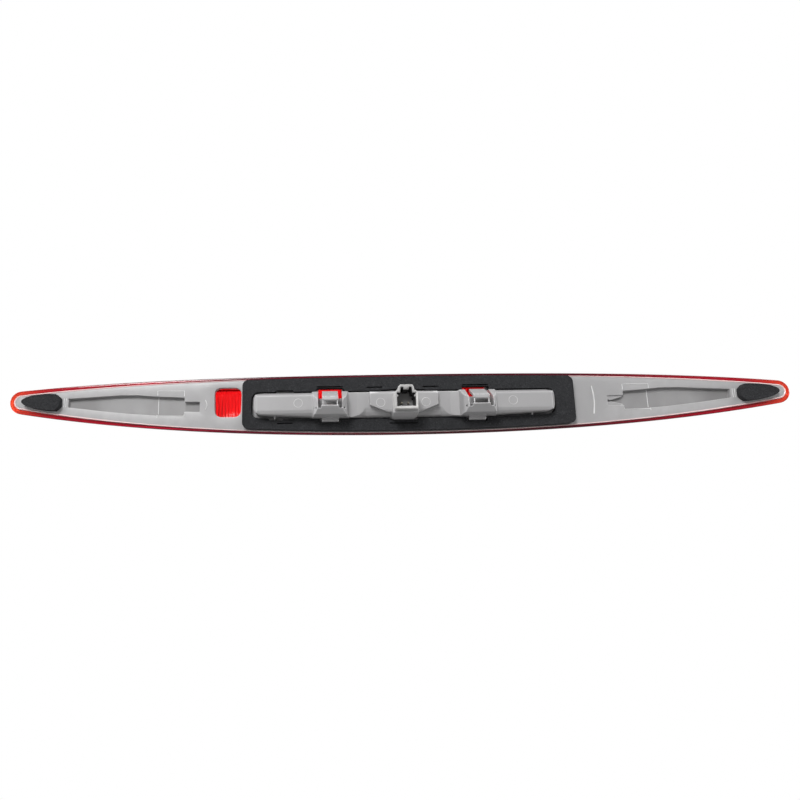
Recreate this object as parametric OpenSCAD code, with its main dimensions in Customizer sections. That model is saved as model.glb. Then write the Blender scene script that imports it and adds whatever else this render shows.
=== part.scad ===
// Third brake light: a long red lens on a grey carrier that snaps into a body panel.
// X runs across the car, the lens faces -Y, the car is at +Y and Z is up. Millimetres.
// The origin is the middle of the plane in which the foam gasket meets the panel.

/* [Lamp outline] */
// Half height of the lamp at its middle
mid_half_h = 22; // [20:0.5:25]
// Where the long sides hand over to the round tips, from the middle
tip_start = 266.2; // [255:0.1:275]
// Share of the half height that the long sides lose by a square law
square_taper = 0.43; // [0.4:0.002:0.46]
// Share that they lose by a fourth-power law, which closes the ends
fourth_taper = 0.2; // [0.17:0.002:0.22]
// How far the tips stand above the middle
arch_rise = 2.9; // [0:0.1:6]
// How far the tips lie towards the car from the middle
bow_depth = 12; // [9:0.5:14]

/* [Lens] */
// Visible lens rim at the tips
rim_end = 3.1; // [2.5:0.1:3.4]
// Visible lens rim along the middle of the top edge
rim_top = 1.7; // [1.4:0.1:2.2]
// Visible lens rim along the middle of the bottom edge
rim_bottom = 1.2; // [1:0.1:1.6]
// Depth of the lens from the carrier's rear face at the middle
lens_depth = 22.6; // [22.4:0.2:26]
// Depth of the lens from the carrier's rear face at the tips
lens_tip_depth = 9.5; // [8.5:0.5:11]
// Wall of the lens
lens_wall = 2.6; // [2.2:0.1:3]
// Radius of the crown across the lens
crown_r = 70; // [60:5:120]
// Width of the weld bead between lens and carrier
bead_w = 0.6; // [0.4:0.1:0.7]

/* [Carrier] */
// Thickness of the carrier's plate
plate_t = 2.6; // [2.2:0.1:3]
// Thickness of the foam gasket
foam_t = 5; // [4:0.5:6]
// Half length of the foam gasket
gasket_half = 117.5; // [115:0.5:119]
// Sideways offset of the gasket from the lamp's middle
gasket_x = -6.4; // [-8:0.2:-5]
// Corner radius of the foam gasket
gasket_r = 4.5; // [3:0.5:6]
// Sideways offset of the pod, the clips and the socket from the lamp's middle
core_x = -2.9; // [-4:0.1:0]
// Depth of the two recesses in the plate
recess_depth = 3.2; // [2.8:0.1:3.6]
// Half length of the pod
pod_half = 105.5; // [103:0.5:106]
// Height of the pod's arms above the gasket
arm_y = 9; // [8:0.5:10]
// Wall of the pod
pod_wall = 2; // [1.8:0.1:2.2]

/* [Clips and socket] */
// Distance from the pod's middle to each clip
clip_x = 51.8; // [50:0.1:52.4]
// Half width of a latch tongue
tongue_half = 5.5; // [5.3:0.1:6.2]
// Radius of the tongue's rolled root
root_r = 1; // [0.9:0.05:1.1]
// Running gap round the rolled root
root_gap = 0.03; // [0.02:0.01:0.05]
// Height of the socket's rim above the gasket
socket_y = 20; // [18:0.5:21]
// Distance between the two contact pins
pin_pitch = 4.6; // [4.2:0.2:5]

/* [Light unit] */
// Half length of the circuit board
board_half = 100; // [99:0.5:101]
// Side of a light-emitting diode package
led_side = 3; // [2.8:0.1:3.5]
// Height of the diode row above the lamp's middle
led_z = 1; // [0:0.5:2]

/* [Hidden] */
$fn = 48;
big_fn = 256;
eps = 0.01;

// Half width of the lamp: the round tip is tangent to both long sides at tip_start.
tip_slope = 2 * mid_half_h * (square_taper + 2 * fourth_taper) / tip_start;
tip_half_h = half_height(tip_start);
tip_centre = tip_start - tip_slope * tip_half_h;
tip_r = tip_half_h * sqrt(1 + tip_slope * tip_slope);
half_w = tip_centre + tip_r;

// Planes along Y at the lamp's middle
plate_y = -foam_t;
pod_root_y = plate_y - 1;
lens_front_y = plate_y - lens_depth;
lens_step = 2.2;
cavity_inset = lens_step + lens_wall;
flange_depth = 4;
gasket_inset = bead_w + 0.4;
pad_start = 237.6;
pad_shoulder = 240.8;
pad_tip = 263.4;
pad_half_h = 5.9;
pad_t = 4.5;
lens_rim_y = plate_y - 0.5;
board_y = -9;
board_t = 1.6;
led_y = board_y - board_t;
reflector_depth = 6.2;
optic_t = 2.4;
optic_y = led_y - reflector_depth - 0.4;

bow_r = bow_radius(half_w, bow_depth);
front_bow = lens_depth - lens_tip_depth + bow_depth;
front_r = bow_radius(half_w, front_bow);

side_steps = 22;
tip_steps = 8;
corner_steps = 5;
recess_floor = 1.4;
tip_angle = 90 - atan(tip_slope);
led_spots = [-94, -82, -70, -30, -18, -6, 6, 18, 30, 70, 82, 94];
screw_spots = [-88, 0, 88];
screw_z = -7.8;
clip_sides = [-1, 1];

// Clip outline, as [height, distance towards the car]
clip_base_y = plate_y - 1;
ridge_y = 17.2;
block_front_z = -4;
hinge_z = 0.4;
hinge_y = 15.8;
hole_half = 8.3;
hole_low = 4.3;
hole_top = 12.6;
pocket_y = -3;
pin_z = -2.3;

function half_height(x) =
    mid_half_h * (1 - square_taper * pow(x / tip_start, 2) - fourth_taper * pow(x / tip_start, 4));
function side_slope(x) =
    2 * mid_half_h / tip_start
    * (square_taper * x / tip_start + 2 * fourth_taper * pow(x / tip_start, 3));
function bow_radius(half, sag) = (half * half + sag * sag) / (2 * sag);
function arch(x) = arch_rise * pow(x / tip_start, 2);
function blend(middle, end, x) = middle + (end - middle) * pow(min(abs(x) / tip_start, 1), 2);

// A point of the long side, moved in by inset along the side's normal
function side_point(x, up, inset) =
    let (m = side_slope(x), n = sqrt(1 + m * m))
    [x - inset * m / n, up * (half_height(x) - inset / n) + arch(x)];
// A point of a round tip, at an angle from the tip's own axis
function tip_point(side, a, inset) =
    let (x = side * (tip_centre + (tip_r - inset) * cos(a)))
    [x, (tip_r - inset) * sin(a) + arch(min(abs(x), half_w))];

// Outline of the lamp moved in by insets given at the tips, the middle top and the middle bottom
function outline(at_end, at_top, at_bottom) = concat(
    [for (i = [-side_steps:side_steps]) let (x = tip_start * i / side_steps)
        side_point(x, 1, blend(at_top, at_end, x))],
    [for (i = [1:tip_steps - 1]) tip_point(1, tip_angle * (1 - 2 * i / tip_steps), at_end)],
    [for (i = [-side_steps:side_steps]) let (x = -tip_start * i / side_steps)
        side_point(x, -1, blend(at_bottom, at_end, x))],
    [for (i = [1:tip_steps - 1]) tip_point(-1, -tip_angle * (1 - 2 * i / tip_steps), at_end)]);

// Outline of the lens at any inset, and of the carrier inside the lens rim
module lens_outline(inset) polygon(outline(inset, inset, inset));
module rim_outline(inset)
    polygon(outline(rim_end + inset, rim_top + inset, rim_bottom + inset));

// Runs a profile drawn in X and Z along Y
module along_y(y0, y1)
    translate([0, y1, 0]) rotate([90, 0, 0]) linear_extrude(y1 - y0) children();

// Runs a profile drawn in Y and Z along X, from -half to half
module along_x(half)
    rotate([90, 0, 90]) translate([0, 0, -half]) linear_extrude(2 * half) children();

// Runs a profile drawn in X and Y along Z
module along_z(z0, z1)
    translate([0, 0, z0]) linear_extrude(z1 - z0) children();

// Space that lies within depth behind a bowed face, on the lens side of it
module bowed_slab(face_y, depth, radius)
    intersection() {
        translate([0, face_y + radius, 0]) difference() {
            cylinder(r = radius + depth, h = 80, center = true, $fn = big_fn);
            cylinder(r = radius, h = 82, center = true, $fn = big_fn);
        }
        cube([2 * half_w + 20, 160, 70], center = true);
    }

// Everything on the car's side of the lens's crowned and bowed front face
module behind_front(face_y)
    translate([0, face_y + front_r, 0]) intersection() {
        rotate_extrude($fn = big_fn) intersection() {
            translate([front_r - crown_r, 0]) circle(r = crown_r);
            translate([front_r - 60, -40]) square([80, 80]);
        }
        translate([0, -front_r, 0]) cube([2 * half_w + 20, 130, 70], center = true);
    }

// A rectangle with round corners, about a centre
module round_rect(x0, x1, z0, z1, r) {
    translate([x0, z0 + r]) square([x1 - x0, z1 - z0 - 2 * r]);
    translate([x0 + r, z0]) square([x1 - x0 - 2 * r, z1 - z0]);
    for (x = [x0 + r, x1 - r]) for (z = [z0 + r, z1 - r]) translate([x, z]) circle(r = r);
}

// ---------- lens ----------

module lens_body(rim_inset, body_inset, front_y, rear_y) {
    // flange, as deep as the rim, then the body a step smaller
    intersection() {
        along_y(front_y - 10, rear_y + 30) lens_outline(body_inset);
        bowed_slab(rear_y, 60, bow_r);
        behind_front(front_y);
    }
    intersection() {
        along_y(front_y, rear_y + 30) lens_outline(rim_inset);
        bowed_slab(rear_y, flange_depth, bow_r);
    }
}

module outer_lens()
    color([0.72, 0.05, 0.07]) difference() {
        lens_body(0, lens_step, lens_front_y, lens_rim_y);
        intersection() {
            along_y(lens_front_y, lens_rim_y + 40) lens_outline(cavity_inset);
            behind_front(lens_front_y + lens_wall);
        }
        intersection() {
            along_y(lens_front_y, lens_rim_y + 40) rim_outline(0);
            bowed_slab(lens_rim_y + 20, 20 + flange_depth - 1.4, bow_r);
        }
    }

module weld_bead()
    color([0.86, 0.62, 0.62]) intersection() {
        along_y(plate_y - 10, plate_y + 30) difference() {
            rim_outline(0);
            rim_outline(bead_w);
        }
        bowed_slab(lens_rim_y, 1.2, bow_r);
    }

// ---------- carrier ----------

// Outline of a recess in the plate: a narrow outer end, a wide middle and a stepped neck
module channel_outline(side, neck_x, shoulder_x)
    polygon([for (p = [[neck_x, 2.2], [shoulder_x, 2.2], [shoulder_x, 5.2], [173, 5.8], [186, 6.6],
        [197, 6.4], [233.5, 3.3], [233.5, -2.8], [210, -5.3], [190, -7], [173, -7.9],
        [shoulder_x, -8], [shoulder_x, -5], [neck_x, -5]])
        [side * p[0], p[1] + arch(p[0])]]);

module window_outline()
    translate([0, arch(121.5)]) round_rect(112.9, 131.9, -8.8, 12.6, 4.3);

// Height of the gasket's edge at a place along the lamp
function gasket_edge(x, up) = arch(x) + up * (half_height(x) - gasket_inset
    - blend(up > 0 ? rim_top : rim_bottom, rim_end, x));

// A round corner of the gasket: right or left end, upper or lower edge, turning with the outline
function gasket_corner(end, up) =
    let (x = gasket_x + end * (gasket_half - gasket_r), z = gasket_edge(x, up) - up * (gasket_r + 0.02))
    [for (i = [0:corner_steps]) let (a = end * up > 0 ? 90 * i / corner_steps : 90 - 90 * i / corner_steps)
        [x + end * gasket_r * cos(a), z + up * gasket_r * sin(a)]];

module gasket_outline()
    intersection() {
        rim_outline(gasket_inset);
        polygon(concat(gasket_corner(1, 1), [[gasket_x + gasket_half - gasket_r, 40]],
            [[gasket_x - gasket_half + gasket_r, 40]], gasket_corner(-1, 1), gasket_corner(-1, -1),
            [[gasket_x - gasket_half + gasket_r, -40]], [[gasket_x + gasket_half - gasket_r, -40]],
            gasket_corner(1, -1)));
    }

module plate_body() {
    intersection() {
        along_y(plate_y - 20, plate_y + 30) rim_outline(bead_w);
        bowed_slab(plate_y, plate_t, bow_r);
    }
    // skirt that locates the carrier inside the lens
    intersection() {
        along_y(plate_y - 20, plate_y + 30) difference() {
            lens_outline(cavity_inset + 0.15);
            lens_outline(cavity_inset + 1.5);
        }
        bowed_slab(plate_y - plate_t / 2, 3.4, bow_r);
    }
}

// Raised floors of the two recesses, on the lens side of the plate
module channel_floor(side, neck_x, shoulder_x)
    intersection() {
        along_y(plate_y - 20, plate_y + 30) intersection() {
            translate([side * (neck_x + 233.5) / 2, 0.9])
                square([233.5 - neck_x + 3.4, 18.8], center = true);
            lens_outline(cavity_inset + 0.2);
        }
        bowed_slab(plate_y - recess_depth + 1, recess_floor + 1, bow_r);
    }

// Solid arms of the pod, bevelled along the lower edge of the waist
module arm_solid()
    difference() {
        arm_block();
        along_x(32) polygon([[3.2, -13], [3.2, -7], [-0.2, -13]]);
    }

// Arms before the bevel: high at both ends, low in the middle, with cut corners
module arm_block()
    intersection() {
        along_y(pod_root_y, arm_y + 5)
            polygon([[-pod_half, -4], [-pod_half + 5, -8.4], [-58, -10.4], [58, -10.4],
                [pod_half - 5, -8.4], [pod_half, -4], [pod_half, 3.4], [pod_half - 4.5, 7.5],
                [-pod_half + 4.5, 7.5], [-pod_half, 3.4]]);
        along_x(pod_half + 1)
            polygon([[pod_root_y - 1, -12], [arm_y - 1.2, -12], [arm_y - 1.2, -9.6], [arm_y, -8.4],
                [arm_y, 4.3], [arm_y - 1, 5.3], [2.2, 7.5], [pod_root_y - 1, 7.5]]);
        along_z(-12, 9)
            polygon([[-pod_half, pod_root_y - 1], [-pod_half, arm_y - 3], [-pod_half + 2.6, arm_y],
                [-62, arm_y], [-33, 3], [33, 3], [62, arm_y], [pod_half - 2.6, arm_y],
                [pod_half, arm_y - 3], [pod_half, pod_root_y - 1]]);
    }

// Plateaus on both sides of the socket
module wings()
    intersection() {
        along_y(pod_root_y, 7)
            polygon([[-24, 7.2], [24, 7.2], [24, -2.6], [11.6, -7.6], [-11.6, -7.6], [-24, -2.6]]);
        along_x(25) polygon([[pod_root_y, -9], [5.8, -9], [7, -6], [7, 5.4], [5.2, 7.2], [pod_root_y, 7.2]]);
    }

// Sloping foot below the socket
module socket_foot()
    intersection() {
        along_x(8.8) polygon([[pod_root_y, -11.6], [1.5, -11.6], [15.4, -9], [15.4, -7], [pod_root_y, -7]]);
        along_y(pod_root_y, 16) translate([0, -1.5]) circle(r = 13.2);
    }

// Cage round a latch: a block on the low side with hipped ends, and two cheeks, wider at the base
module clip_cage()
    intersection() {
        along_x(15)
            polygon([[clip_base_y, -10.6], [8, -10.6], [12.6, -9.6], [ridge_y - 1, -5.4],
                [ridge_y, block_front_z], [ridge_y - 0.4, -2.2], [14.6, 1.4], [5.6, 7.2],
                [4.6, 7.9], [clip_base_y, 7.9]]);
        along_z(-14, 14)
            polygon([[-14, clip_base_y], [-12.8, 3], [-11.4, 12], [-7.6, ridge_y + 0.4],
                [7.6, ridge_y + 0.4], [11.4, 12], [12.8, 3], [14, clip_base_y]]);
    }

// Pocket that the tongue moves in, and the opening through the carrier below its free end
module clip_hole() {
    along_y(pocket_y, 30) translate([-hole_half, block_front_z])
        square([2 * hole_half, hole_top - block_front_z]);
    along_y(plate_y - plate_t - 8, 30) translate([-hole_half, hole_low])
        square([2 * hole_half, hole_top - hole_low]);
    // side slots that run down past the block's edge
    for (s = clip_sides) along_y(1.5, 30)
        translate([s * (hole_half + tongue_half + 0.5) / 2 - 0.95, -5.2]) square([1.9, 3]);
}

// Two short posts that carry the tongue's rolled root
module root_posts() {
    post_foot = block_front_z - 0.6;
    post_top = hinge_z - 0.7;
    for (s = clip_sides) difference() {
        translate([s * (tongue_half - 0.6) - 0.6, hinge_y - 1.6, post_foot])
            cube([1.2, 2.4, post_top - post_foot]);
        translate([-20, hinge_y, hinge_z]) rotate([0, 90, 0]) cylinder(r = root_r + root_gap, h = 40);
    }
}

// Locating ledge below a cage
module clip_ledge()
    along_x(5.9) polygon([[-2, -9], [-2, -11], [0.4, -13.4], [2.6, -13], [3.4, -8.6]]);

module housing_hollow() {
    // hollows under the pod, open towards the light unit, with solid plastic under each clip
    for (c = [[-pod_half + 3, -clip_x - 10.5], [-clip_x + 10.5, clip_x - 10.5],
        [clip_x + 10.5, pod_half - 3]])
        along_y(plate_y - plate_t - 2, 1) round_rect(c[0], c[1], -7.6, 5.6, 2);
    // deeper hollow in each arm
    for (s = clip_sides) translate([s * 83, 0, 0])
        along_y(0, arm_y - pod_wall) round_rect(-16.5, 16.5, -6.4, 3.4, 2);
    // seat for the socket
    along_y(-1.05, 30) socket_outline(0.03);
}

module boss(x)
    translate([x, board_y, screw_z]) rotate([-90, 0, 0]) cylinder(r = 2.4, h = 11.5);

module core_parts() {
    difference() {
        union() {
            arm_solid();
            wings();
            socket_foot();
            for (s = clip_sides) translate([s * clip_x, 0, 0]) {
                clip_cage();
                clip_ledge();
            }
        }
        housing_hollow();
        for (s = clip_sides) translate([s * clip_x, 0, 0]) clip_hole();
    }
    for (s = clip_sides) translate([s * clip_x, 0, 0]) root_posts();
}

module housing()
    color([0.62, 0.62, 0.63]) difference() {
        union() {
            difference() {
                union() {
                    plate_body();
                    channel_floor(1, 141.9, 152.8);
                    channel_floor(-1, 149, 160);
                }
                for (c = [[1, 141.9, 152.8], [-1, 149, 160]]) intersection() {
                    along_y(plate_y - 10, plate_y + 40) channel_outline(c[0], c[1], c[2]);
                    bowed_slab(plate_y + 20, 20 + recess_depth, bow_r);
                }
                along_y(plate_y - 20, 30) window_outline();
                translate([core_x, 0, 0]) {
                    housing_hollow();
                    for (s = clip_sides) translate([s * clip_x, 0, 0]) clip_hole();
                }
            }
            translate([core_x, 0, 0]) {
                core_parts();
                for (x = screw_spots) boss(x);
            }
        }
        for (x = screw_spots) translate([core_x + x, board_y - 1, screw_z])
            rotate([-90, 0, 0]) cylinder(r = 0.9, h = 9.5);
        translate([core_x, 0, 0]) along_y(-1.05, 30) socket_outline(0.03);
    }

// ---------- foam ----------

module main_gasket()
    color([0.13, 0.13, 0.14]) intersection() {
        bowed_slab(0, foam_t, bow_r - foam_t);
        along_y(-foam_t - 5, 10) difference() {
            gasket_outline();
            // opening for the pod, higher over each tongue and lower at each ledge and at the foot
            translate([core_x, 0]) {
                round_rect(-pod_half - 2.2, pod_half + 2.2, -11.3, 9.2, 6);
                round_rect(-10, 10, -12.4, 0, 1);
                for (s = clip_sides) translate([s * clip_x, 0]) {
                    round_rect(-9.4, 9.4, 0, 11.2, 0.8);
                    round_rect(-7.4, 7.4, -14.2, 0, 1);
                }
            }
        }
    }

module end_pad(side)
    color([0.15, 0.15, 0.16]) intersection() {
        // teardrop with a blunt inner end: half an ellipse and two cut corners
        along_y(plate_y - 20, plate_y + 40)
            polygon([for (p = concat([[pad_start, 2.9], [pad_start, -2.9]], [for (a = [-90:10:90])
                [pad_shoulder + (pad_tip - pad_shoulder) * cos(a), pad_half_h * sin(a)]]))
                [side * p[0], p[1] + arch(p[0])]]);
        bowed_slab(plate_y + pad_t, pad_t, bow_r - pad_t);
    }

module left_end_pad() end_pad(1);
module right_end_pad() end_pad(-1);

// ---------- clips ----------

module latch(side)
    color([0.66, 0.66, 0.67]) translate([core_x + side * clip_x, 0, 0]) {
        difference() {
            along_x(tongue_half)
                polygon([[hinge_y - 1.3, hinge_z - 0.5], [hinge_y + 0.9, hinge_z - 0.3],
                    [hinge_y + 1.2, hinge_z + 0.6], [hinge_y + 0.7, hinge_z + 1.6], [4.8, 8.1],
                    [3.6, 7.7], [4.1, 6.2], [hinge_y - 1.6, hinge_z + 0.5]]);
            // room for the posts that carry the root
            for (s = clip_sides)
                translate([s * (tongue_half - 0.6) - 0.7, hinge_y - 3, hinge_z - 3.5])
                cube([1.4, 5, 3.2]);
        }
        translate([-tongue_half, hinge_y, hinge_z]) rotate([0, 90, 0])
            cylinder(r = root_r, h = 2 * tongue_half);
    }

module left_latch() latch(1);
module right_latch() latch(-1);

// ---------- electrical connection ----------

// Outline of the socket: a box with a domed top
module socket_outline(grow)
    polygon([[-7.9 - grow, -7.8 - grow], [7.9 + grow, -7.8 - grow], [7.9 + grow, 3.6 + grow],
        [7 + grow, 4.5 + grow], [5.6 + grow, 5.2 + grow], [5.2 + grow, 7.4 + grow],
        [4.1 + grow, 8.8 + grow], [-4.1 - grow, 8.8 + grow], [-5.2 - grow, 7.4 + grow],
        [-5.6 - grow, 5.2 + grow], [-7 - grow, 4.5 + grow], [-7.9 - grow, 3.6 + grow]]);

module socket_cavity_outline()
    difference() {
        polygon([[-6.4, -6], [6.4, -6], [6.4, 3.3], [4.4, 3.3], [3.8, 7.2], [-3.8, 7.2],
            [-4.4, 3.3], [-6.4, 3.3]]);
        // polarising ribs on both walls and a key under the dome
        for (s = clip_sides) translate([s * 6.2, 1.2]) square([1.4, 1.2], center = true);
        translate([-1.6, 5.6]) square([3.2, 2]);
    }

module connector_socket()
    color([0.7, 0.7, 0.7]) translate([core_x, 0, 0]) difference() {
        along_y(-1, socket_y) socket_outline(0);
        along_y(3, socket_y + 1) socket_cavity_outline();
        for (s = clip_sides) translate([s * pin_pitch / 2, 0, pin_z])
            cube([1.54, 20, 0.84], center = true);
    }

module contact_pin(side)
    color([0.78, 0.74, 0.6]) translate([core_x + side * pin_pitch / 2, 0, pin_z])
        intersection() {
            translate([-0.75, led_y - 1.2, -0.4]) cube([1.5, 11.5 - led_y + 1.2, 0.8]);
            // pointed lead-in at the socket end
            along_z(-1, 1) polygon([[-0.75, led_y - 2], [0.75, led_y - 2], [0.75, 10.3], [0.3, 11.5],
                [-0.3, 11.5], [-0.75, 10.3]]);
        }

module supply_pin() contact_pin(1);
module ground_pin() contact_pin(-1);

module solder_joints()
    color([0.75, 0.75, 0.77]) for (s = clip_sides)
        translate([core_x + s * pin_pitch / 2, led_y, pin_z]) difference() {
            rotate([90, 0, 0]) cylinder(r1 = 1.7, r2 = 1.05, h = 1);
            cube([1.52, 10, 0.82], center = true);
        }

// ---------- light unit ----------

// Outline shared by the board, the reflector and the optic: a bar cut away behind the clips
module light_bar(half, low, high)
    difference() {
        translate([-half, low]) square([2 * half, high - low]);
        for (s = clip_sides) translate([s * clip_x - 10, block_front_z - 0.3]) square([20, 40]);
    }

module screw_holes(r)
    for (x = screw_spots) translate([x, screw_z]) circle(r = r);

module circuit_board()
    color([0.1, 0.32, 0.18]) translate([core_x, 0, 0]) difference() {
        along_y(led_y, board_y) difference() {
            light_bar(board_half, -11.5, 9);
            screw_holes(1.3);
        }
        for (s = clip_sides) translate([s * pin_pitch / 2, 0, pin_z]) cube([1.6, 60, 0.9], center = true);
    }

module led_packages()
    color([0.93, 0.92, 0.88]) translate([core_x, 0, 0]) for (x = led_spots)
        translate([x, 0, led_z]) difference() {
            along_y(led_y - 1.2, led_y) square(led_side, center = true);
            along_y(led_y - 1.3, led_y - 0.5) circle(r = led_side * 0.36);
        }

module led_chips()
    color([0.8, 0.2, 0.15]) translate([core_x, 0, 0]) for (x = led_spots)
        translate([x, 0, led_z]) along_y(led_y - 1.15, led_y - 0.5) circle(r = led_side * 0.36 - 0.02);

// Tray of cups, one round each diode, held under the heads of the board screws
module reflector()
    color([0.82, 0.83, 0.85]) translate([core_x, 0, 0]) difference() {
        union() {
            along_y(led_y - 1.4, led_y) light_bar(board_half, -10.6, 8.4);
            along_y(led_y - reflector_depth, led_y) light_bar(board_half, -4.8, 7.6);
        }
        for (x = led_spots) translate([x, 0, led_z]) {
            rotate([90, 0, 0]) translate([0, 0, -led_y - eps])
                cylinder(r = 2.4, h = 2);
            rotate([90, 0, 0]) translate([0, 0, -led_y + 1.2])
                cylinder(r1 = 2.4, r2 = 5, h = reflector_depth);
        }
        along_y(led_y - 8, led_y + 1) screw_holes(1.3);
        // room for the two soldered pin ends
        for (s = clip_sides) along_y(led_y - 1.9, led_y + 1)
            translate([s * pin_pitch / 2, pin_z]) circle(r = 1.9);
    }

// Clear bar with one round lens over each cup
module optic_strip()
    color([0.95, 0.85, 0.85]) translate([core_x, 0, 0]) {
        along_y(optic_y - optic_t + 0.8, optic_y) light_bar(board_half, -4.8, 7.6);
        for (x = led_spots) translate([x, optic_y - optic_t + 0.8 + eps, led_z])
            rotate([90, 0, 0]) cylinder(r1 = 4.6, r2 = 3.4, h = 0.8);
    }

module resistors()
    color([0.12, 0.12, 0.13]) for (x = [-92, -80, -68, 22, 70, 84])
        translate([core_x + x, board_y, 3.4]) along_y(0, 0.6) square([6.3, 3.2], center = true);

module polarity_diode()
    color([0.1, 0.1, 0.11]) translate([core_x - 13, board_y, 1.5])
        along_y(0, 2.3) square([5, 3.6], center = true);

module surge_capacitor()
    color([0.7, 0.7, 0.73]) translate([core_x + 14, board_y, -1]) {
        along_y(0, 0.8) square(6.6, center = true);
        rotate([-90, 0, 0]) cylinder(r = 3.15, h = 5.8);
    }

module current_regulator()
    color([0.09, 0.09, 0.1]) translate([core_x - 25, board_y, -0.5]) {
        along_y(0, 2.3) square([6.5, 6.1], center = true);
        translate([0, 0, 3]) along_y(0, 0.6) square([5.2, 2.4], center = true);
    }

module board_screws()
    color([0.72, 0.72, 0.74]) for (x = screw_spots)
        translate([core_x + x, led_y - 1.4, screw_z]) {
            difference() {
                rotate([90, 0, 0]) cylinder(r = 2, h = 1.4);
                // cross recess
                for (a = [0, 90]) rotate([0, a, 0]) translate([0, -1.4, 0]) cube([2.2, 1.2, 0.5], center = true);
            }
            rotate([-90, 0, 0]) cylinder(r = 0.89, h = 9.6);
        }

outer_lens();
housing();
weld_bead();
main_gasket();
left_end_pad();
right_end_pad();
left_latch();
right_latch();
connector_socket();
supply_pin();
ground_pin();
circuit_board();
led_packages();
led_chips();
reflector();
optic_strip();
resistors();
polarity_diode();
surge_capacitor();
current_regulator();
board_screws();
solder_joints();
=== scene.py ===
# %% [markdown]
# # A third brake light, seen from the side that faces the car
#
# The lamp is a long red lens with a grey carrier welded into its back. A foam gasket, two sprung
# clips and a two-pin socket face the car. The solid model is the fixed frame: it gives every place
# and size. This file adds what a solid model lacks: moulded edges, flutes, foam and finishes.

import math

import bmesh
import bpy
import numpy as np
from mathutils import Matrix, Vector, noise
from mathutils.geometry import delaunay_2d_cdt


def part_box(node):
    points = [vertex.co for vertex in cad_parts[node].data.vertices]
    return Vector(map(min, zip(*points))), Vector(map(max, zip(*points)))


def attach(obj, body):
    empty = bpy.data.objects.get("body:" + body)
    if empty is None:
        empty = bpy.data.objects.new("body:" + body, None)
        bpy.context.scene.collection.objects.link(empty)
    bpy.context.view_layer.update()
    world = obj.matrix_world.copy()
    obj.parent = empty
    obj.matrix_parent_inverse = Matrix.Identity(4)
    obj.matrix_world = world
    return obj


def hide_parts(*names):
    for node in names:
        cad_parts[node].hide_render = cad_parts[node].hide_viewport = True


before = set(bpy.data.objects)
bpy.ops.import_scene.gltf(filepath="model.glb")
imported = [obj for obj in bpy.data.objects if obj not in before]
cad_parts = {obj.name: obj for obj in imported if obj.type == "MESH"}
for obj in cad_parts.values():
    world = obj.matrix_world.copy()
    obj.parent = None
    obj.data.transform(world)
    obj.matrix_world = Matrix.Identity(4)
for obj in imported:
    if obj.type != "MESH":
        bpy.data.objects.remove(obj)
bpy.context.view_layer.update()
scene = bpy.context.scene

# %% [markdown]
# ## Laws of the outline
#
# The long sides follow one smooth law, and each tip is an arc that is tangent to both sides. The
# whole lamp bows towards the car at its tips and arches up a little. Writing this as functions, in
# millimetres, lets every piece follow the same curve, so a rim, a bead and a gasket stay parallel.

# %% Outline, arch and bow
MM = 0.001
lens_low, lens_high = (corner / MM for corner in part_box("outer_lens"))
gasket_low, gasket_high = (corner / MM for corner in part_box("main_gasket"))
socket_low, socket_high = (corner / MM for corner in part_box("connector_socket"))
pad_low, pad_high = (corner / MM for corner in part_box("left_end_pad"))

half_width = lens_high.x
mid_half_height = -lens_low.z
tip_start = 266.2      # where the long side ends and the tip's arc begins
square_taper = 0.43    # shares of the half height that the long side loses by then
fourth_taper = 0.2
arch_rise = 2.9        # how far the tips stand above the middle
bow_depth = 12.0       # how far the tips come towards the car
foam_thick = 5.0
plate_y = -foam_thick
rim_y = plate_y - 0.5
rim_end = 3.1          # width of the red rim at the tips, on top and below
rim_top = 1.7
rim_bottom = 1.2
bead_width = 0.6
lens_front_y = lens_low.y
lens_wall = 2.6
lens_step = 2.2        # how far the body stands in from the flange
core_x = (socket_low.x + socket_high.x) / 2
clip_reach = 51.8      # from the socket's middle to each clip's middle
clip_centres = {side: core_x + sign * clip_reach for side, sign in (("left", 1), ("right", -1))}


def half_height(x):
    u = x / tip_start
    return mid_half_height * (1 - square_taper * u ** 2 - fourth_taper * u ** 4)


def side_slope(x):
    u = x / tip_start
    return 2 * mid_half_height / tip_start * (square_taper * u + 2 * fourth_taper * u ** 3)


tip_slope = side_slope(tip_start)
tip_centre = tip_start - tip_slope * half_height(tip_start)
tip_radius = half_height(tip_start) * math.hypot(1, tip_slope)
tip_lean = math.atan(tip_slope)
bow_radius = (half_width ** 2 + bow_depth ** 2) / (2 * bow_depth)


def arch(x):
    return arch_rise * (x / tip_start) ** 2


def bow(x):
    return bow_radius - math.sqrt(bow_radius ** 2 - x ** 2)


def blend(middle, end, x):
    return middle + (end - middle) * min(abs(x) / tip_start, 1) ** 2


def inset_height(x, inset):
    """Half height of the outline moved in by inset, at a place along the lamp."""
    x = abs(x)
    radius = tip_radius - inset
    if x < tip_centre + radius * math.sin(tip_lean):
        return half_height(x) - inset * math.hypot(1, side_slope(x))
    return math.sqrt(max(radius ** 2 - (x - tip_centre) ** 2, 0))


def outline(at_end, at_top, at_bottom, side_steps=90, tip_steps=16):
    """Points (x, z) anticlockwise round the lamp, moved in by insets at tips, top and bottom."""
    points = []
    for up, at_side in ((1, at_top), (-1, at_bottom)):
        for i in range(side_steps + 1):
            x = up * tip_start * (1 - 2 * i / side_steps)
            inset = blend(at_side, at_end, x)
            slope = side_slope(x)
            length = math.hypot(1, slope)
            points.append((x - inset * slope / length, up * (half_height(x) - inset / length) + arch(x)))
        for i in range(1, tip_steps):
            angle = (math.pi / 2 - tip_lean) * (1 - 2 * i / tip_steps)
            x = -up * (tip_centre + (tip_radius - at_end) * math.cos(angle))
            points.append((x, up * (tip_radius - at_end) * math.sin(angle) + arch(x)))
    return points


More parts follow.
